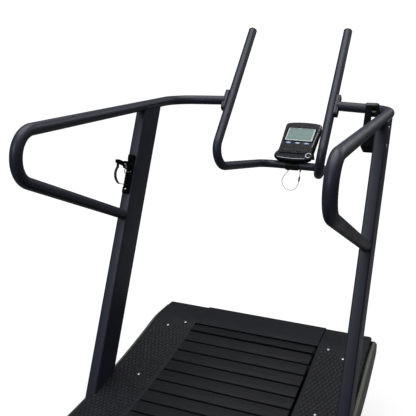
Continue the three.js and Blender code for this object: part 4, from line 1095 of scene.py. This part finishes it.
def add_console_foot():
    """Two soft pads over a dark slot, and the slate foot with its bright edge and its bulges. The slot's dark
    strip is painted shade, and the bright edge is a painted highlight along the foot's lower edge.
    """
    pads = [soft_pad(rounded(low, high, 9, 43, 7)) for low, high in ((-62, -4), (4, 62))]
    console_piece("console_pads", pads)
    # A raised black strip as painted shade in the slot.
    slot = slab(rounded(-67, 66, -8, 2, 3.5), -0.1, 0.7)
    console_piece("console_slot_shade", [slot], "black_plastic", bevel=0.3, look="matt_black_and_shade")
    # A light silver line as a painted highlight along the foot's lower edge.
    edge = sweep([(x, -37 + 6 * (x / 66) ** 2, 0.4) for x in range(-66, 55, 4)],
                 rounded(-1.5, 1.5, -1, 1, 0.9))
    console_piece("console_foot_highlight", [edge], "steel", look="silver_and_highlight")
    slate = slab([(x, y) for x, y in console_outline(4) if y < -9], 0, 0.5)
    console_piece("console_foot_face", [slate], look="slate_trim")
    lip = sweep([(x, -36 + 7 * (x / 62) ** 2, -9) for x in range(-62, 63, 4)], rounded(-5, 5, -4, 4, 3.5))
    console_piece("console_lip", [lip])
    ball = lathe([(0, -7)] + [(9 * c, 7 * s) for c, s in unit_arc(-78, 78, 13)] + [(0, 7)])
    bulges = [moved(ball, Matrix.Translation((x, -13, -8)) @ Matrix.Diagonal((0.75, 1.5, 1.25, 1)))
              for x in (-77, 77)]
    console_piece("console_bulges", bulges, "black_plastic")


def add_console_trim():
    """A bright hook at the foot's right, and a grey strip with two rings up the right flank. The grey strip
    is a painted highlight along the flank's rounded edge.
    """
    hook = sweep([(66 + 11 * c, -13 + 14 * s, 1.8) for c, s in unit_arc(30, 320, 29)],
                 rounded(-2.4, 2.4, -1.6, 1.6, 1.4))
    console_piece("console_hook", [hook], "steel", look="silver_and_highlight")
    # A grey strip as a painted highlight along the flank's rounded edge.
    strip = [(66.5, 40), (71.5, 40), (73.5, 90), (77, 150), (77.5, 194), (71.5, 194), (71.5, 150), (68.5, 90)]
    console_piece("console_flank_highlight", [slab(strip, 0, 2.2)], "grey_nylon", bevel=0.6)
    rings = [shifted(washer(1.6, 3.4, 1.2, 24), 74, y, 2.0) for y in (170, 150)]
    console_piece("console_side_rings", rings, "black_plastic", bevel=0.2)


def soft_pad(outline):
    """A low pad with softly rounded edges."""
    cx, cy = (sum(values) / len(outline) for values in zip(*outline))
    return loft([[(cx + (x - cx) * (1 - inset / 28), cy + (y - cy) * (1 - inset / 17), z) for x, y in outline]
                 for inset, z in ((0, 0), (0, 1), (0.4, 1.7), (1.4, 2))])


# ---------- sensor lead ----------
def add_lead():
    """The free lead under the cross bar, from the left grommet round to its connector."""
    curve = bpy.data.curves.new("sensor_lead_jacket", "CURVE")
    curve.dimensions = "3D"
    spline = curve.splines.new("POLY")
    path = smooth_path(LEAD_ROUTE, 5)
    spline.points.add(len(path) - 1)
    for point, place in zip(spline.points, path):
        point.co = (*place, 1)
    spline.use_smooth = True
    curve.bevel_depth = LEAD_DIAMETER / 2
    curve.bevel_resolution = 6
    curve.use_fill_caps = True
    curve.materials.append(MATERIALS["lead_jacket"])
    lead = bpy.data.objects.new("sensor_lead_jacket", curve)
    bpy.context.collection.objects.link(lead)
    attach(lead, "frame")
    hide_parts("sensor_lead")
    others = [*add_connector(), *add_grommets()]


def smooth_path(points, steps):
    """A Catmull-Rom line through the points, in even steps."""
    padded = [Vector(points[0])] + [Vector(p) for p in points] + [Vector(points[-1])]
    path = []
    for a, b, c, d in zip(padded, padded[1:], padded[2:], padded[3:]):
        for i in range(steps):
            t = i / steps
            path.append(0.5 * (2 * b + (c - a) * t + (2 * a - 5 * b + 4 * c - d) * t ** 2
                               + (3 * b - a - 3 * c + d) * t ** 3))
    return path + [padded[-1]]


def add_connector():
    """An in-line plug and socket, and the short tail that goes back up into the bar."""
    foot, head = (Vector(p) for p in CONNECTOR_ENDS)
    size = (head - foot).length
    shell = lathe([(0, 0), (2.2, 0), (2.6, 3), (3.6, 4.5), (3.6, 11), (3.2, 11.3), (3.2, 12.3), (3.6, 12.6),
                   (3.6, size - 5), (2.6, size - 3), (2.2, size), (0, size)], 28)
    plug = piece("lead_connector_shell", [aimed(shell, foot, head - foot)], "black_plastic",
                 nodes=["lead_connector"])
    tail = sweep(TAIL_ENDS, circle(LEAD_DIAMETER / 2 / MM, 20))
    return plug, piece("lead_tail_jacket", [tail], "lead_jacket", nodes=["lead_tail"])


def add_grommets():
    made = []
    for side, _ in SIDES:
        node = f"lead_grommet_{side}"
        low, high, middle = corners_of(node)
        top = high.z - low.z
        collar = lathe([(0, 0), (2.6, 0), (4.4, 1.2), (4.6, 3), (3.4, 4), (3.4, top), (0, top)], 28)
        place = Matrix.Translation((middle.x, middle.y, low.z))
        made.append(piece(f"{node}_collar", [collar], "rubber", nodes=[node], place=place))
    return made


# ---------- holders ----------
def on_upright(x, z, offset):
    """A frame on an upright: Z runs up it and -Y points backwards."""
    place = (x, UPRIGHT_FOOT_Y + UPRIGHT_LEAN * z + offset, z)
    return Matrix.Translation(place) @ Matrix.Rotation(-math.atan(UPRIGHT_LEAN), 4, "X")


CAGE_OUTSIDE, CAGE_INSIDE = rounded(-42, -0.8, -32, 48, 8, 8), rounded(-37, -6.8, -27, 43, 4, 8)
CAGE_BOLT_ACROSS, CAGE_BOLT_HEIGHTS = -20, (-52, 8)
CAGE_FOOT, CAGE_FLOOR, CAGE_CUP, CAGE_HOOP, CAGE_RIM = -60, -50, -8, (66, 74.7), (75, 84.6)


def cage_plate():
    """The cage's back plate, on two bosses, and the screws that hold it from both sides."""
    across, face = CAGE_BOLT_ACROSS, -7.8
    plate = along_x(rounded(across - 12, across + 12, -59, 82, 6), face, -1.8)
    boss, head = lathe([(0, 0), (8, 0), (8, 2), (0, 2)], 28), button_head(5)
    body = [plate] + [aimed(boss, (-2, across, z), (1, 0, 0)) for z in CAGE_BOLT_HEIGHTS]
    screws = [aimed(head, (face, across, z), (-1, 0, 0)) for z in CAGE_BOLT_HEIGHTS]
    screws += [aimed(shape, (UPRIGHT_WIDTH, across, z), (1, 0, 0)) for z in CAGE_BOLT_HEIGHTS
               for shape in (washer(5, 7.5, 1.2), button_head(5.5))]
    return body, screws


def add_bottle_cage():
    """A rimmed plastic cage: hoop, cup, two posts and a back plate."""
    turn = on_upright(UPRIGHT_X - UPRIGHT_WIDTH / 2, CAGE_HEIGHT, UPRIGHT_DEPTH / 2)
    lining = frame_shape(rounded(-37.2, -6.6, -27.2, 43.2, 4, 8), rounded(-34.5, -9.3, -24.5, 40.5, 3, 8),
                         60, 74)
    posts = [slab(rounded(low, high, front, back, 2), -44, 72) for low, high, front, back in
             ((-41, -19, -31.5, -27), (-41.5, -37, -31, -8))]
    plate, screws = cage_plate()
    body = [frame_shape(CAGE_OUTSIDE, CAGE_INSIDE, *CAGE_HOOP), lining,
            slab(rounded(-41, -2.8, -31, 47, 8, 8), CAGE_FOOT, CAGE_FLOOR),
            frame_shape(CAGE_OUTSIDE, CAGE_INSIDE, CAGE_FOOT, CAGE_CUP), *posts, *plate]
    piece("bottle_cage_body", body, "black_plastic", nodes=["bottle_cage"], bevel=1, look="matt_black_and_shade",
          place=turn)
    rim = frame_shape(rounded(-43, -0.8, -33, 49, 9, 8), CAGE_INSIDE, *CAGE_RIM)
    # The rim's light grey is a painted highlight on the cage's lit top edge.
    piece("bottle_cage_rim", [rim], "black_plastic", bevel=1.4, look="rim_highlight_grey", place=turn)
    piece("bottle_cage_screws", screws, "steel", place=turn)


STRAP_ROUTE = [(0, -95, 18.3), (0, -91, 5), (0, -119, -14), (0, -72, -48), (0, -36, -43), (0, -13.5, -40)]
STRAP_BENDS = [8, 26, 40, 60]
STRAP_ARM = [(-103, 21), (-100, 18.5), (-44, 18.5), (-44, 32), (-99, 31), (-103, 28)]
# Each rivet's x, y and z, and its radius.
STRAP_RIVETS = [(3.5, -20, -57, 4.2), (0, -15, 5, 2.6), (8, -12.2, 8, 2.8)]


def add_strap_holder():
    """The strap holder on the left upright: rail, clamp, ring, lever and webbing loop."""
    turn = on_upright(-UPRIGHT_X, STRAP_HEIGHT, 0)
    rail = [slab(rounded(-12, 12, -12, -0.3, 3), -70, 68), slab(rounded(-9, 9, -20, -10, 3), -70, -50),
            slab(rounded(-10, 10, -19, -10, 3.5), 49, 68)]
    rail += [slab(rounded(-7, 7, -15, -11, 1.5), z, z + 5) for z in range(-44, 20, 9)]
    piece("strap_rail", rail, "black_plastic", nodes=["strap_bracket"], bevel=1, look="matt_black_and_shade",
          place=turn)
    jaw, arm = slab(rounded(-9, 9, -46, -12.3, 5), 14, 38), along_x(STRAP_ARM, -7.5, 7.5)
    knob = aimed(lathe([(0, 0), (7, 0), (8, 1.5), (8, 6), (6.5, 8), (0, 8.5)], 16), (9, -24, 26), (1, 0, 0))
    piece("strap_jaw", [jaw, knob, arm], "black_plastic", nodes=["strap_clamp"], bevel=1.6, segments=3,
          look="matt_black_and_shade", place=turn)
    ring = sweep([(0, y - 34, z + 4.6) for y, z in circle(7.5, 45)], circle(1.6, 12), closed=True)
    # The lever stands for the clamp's cam lever; its light silver also serves as a painted highlight on the
    # clamp.
    lever = sweep([(9, -64, 25), (9, -57, 20), (9, -48, 13)], rounded(-3, 3, -1.7, 1.7, 1.4, 3))
    piece("strap_lever", [ring, lever], "steel", nodes=["strap_ring"], look="silver_and_highlight", place=turn)
    web = sweep(bent(STRAP_ROUTE, STRAP_BENDS, 5), rounded(-5, 5, -1.25, 1.25, 1.1, 3))
    piece("strap_web", [web], "strap_webbing", nodes=["strap_loop"], place=turn)
    rivets = [aimed(button_head(radius), point, (0, -1, 0)) for *point, radius in STRAP_RIVETS]
    piece("strap_rivets", rivets, "steel", place=turn)


add_camera()
add_lead()
add_stage()
add_tubes()
add_covers()
add_belt()
add_base()
add_running_gear()
add_sensor()
add_console()
add_bottle_cage()
add_strap_holder()
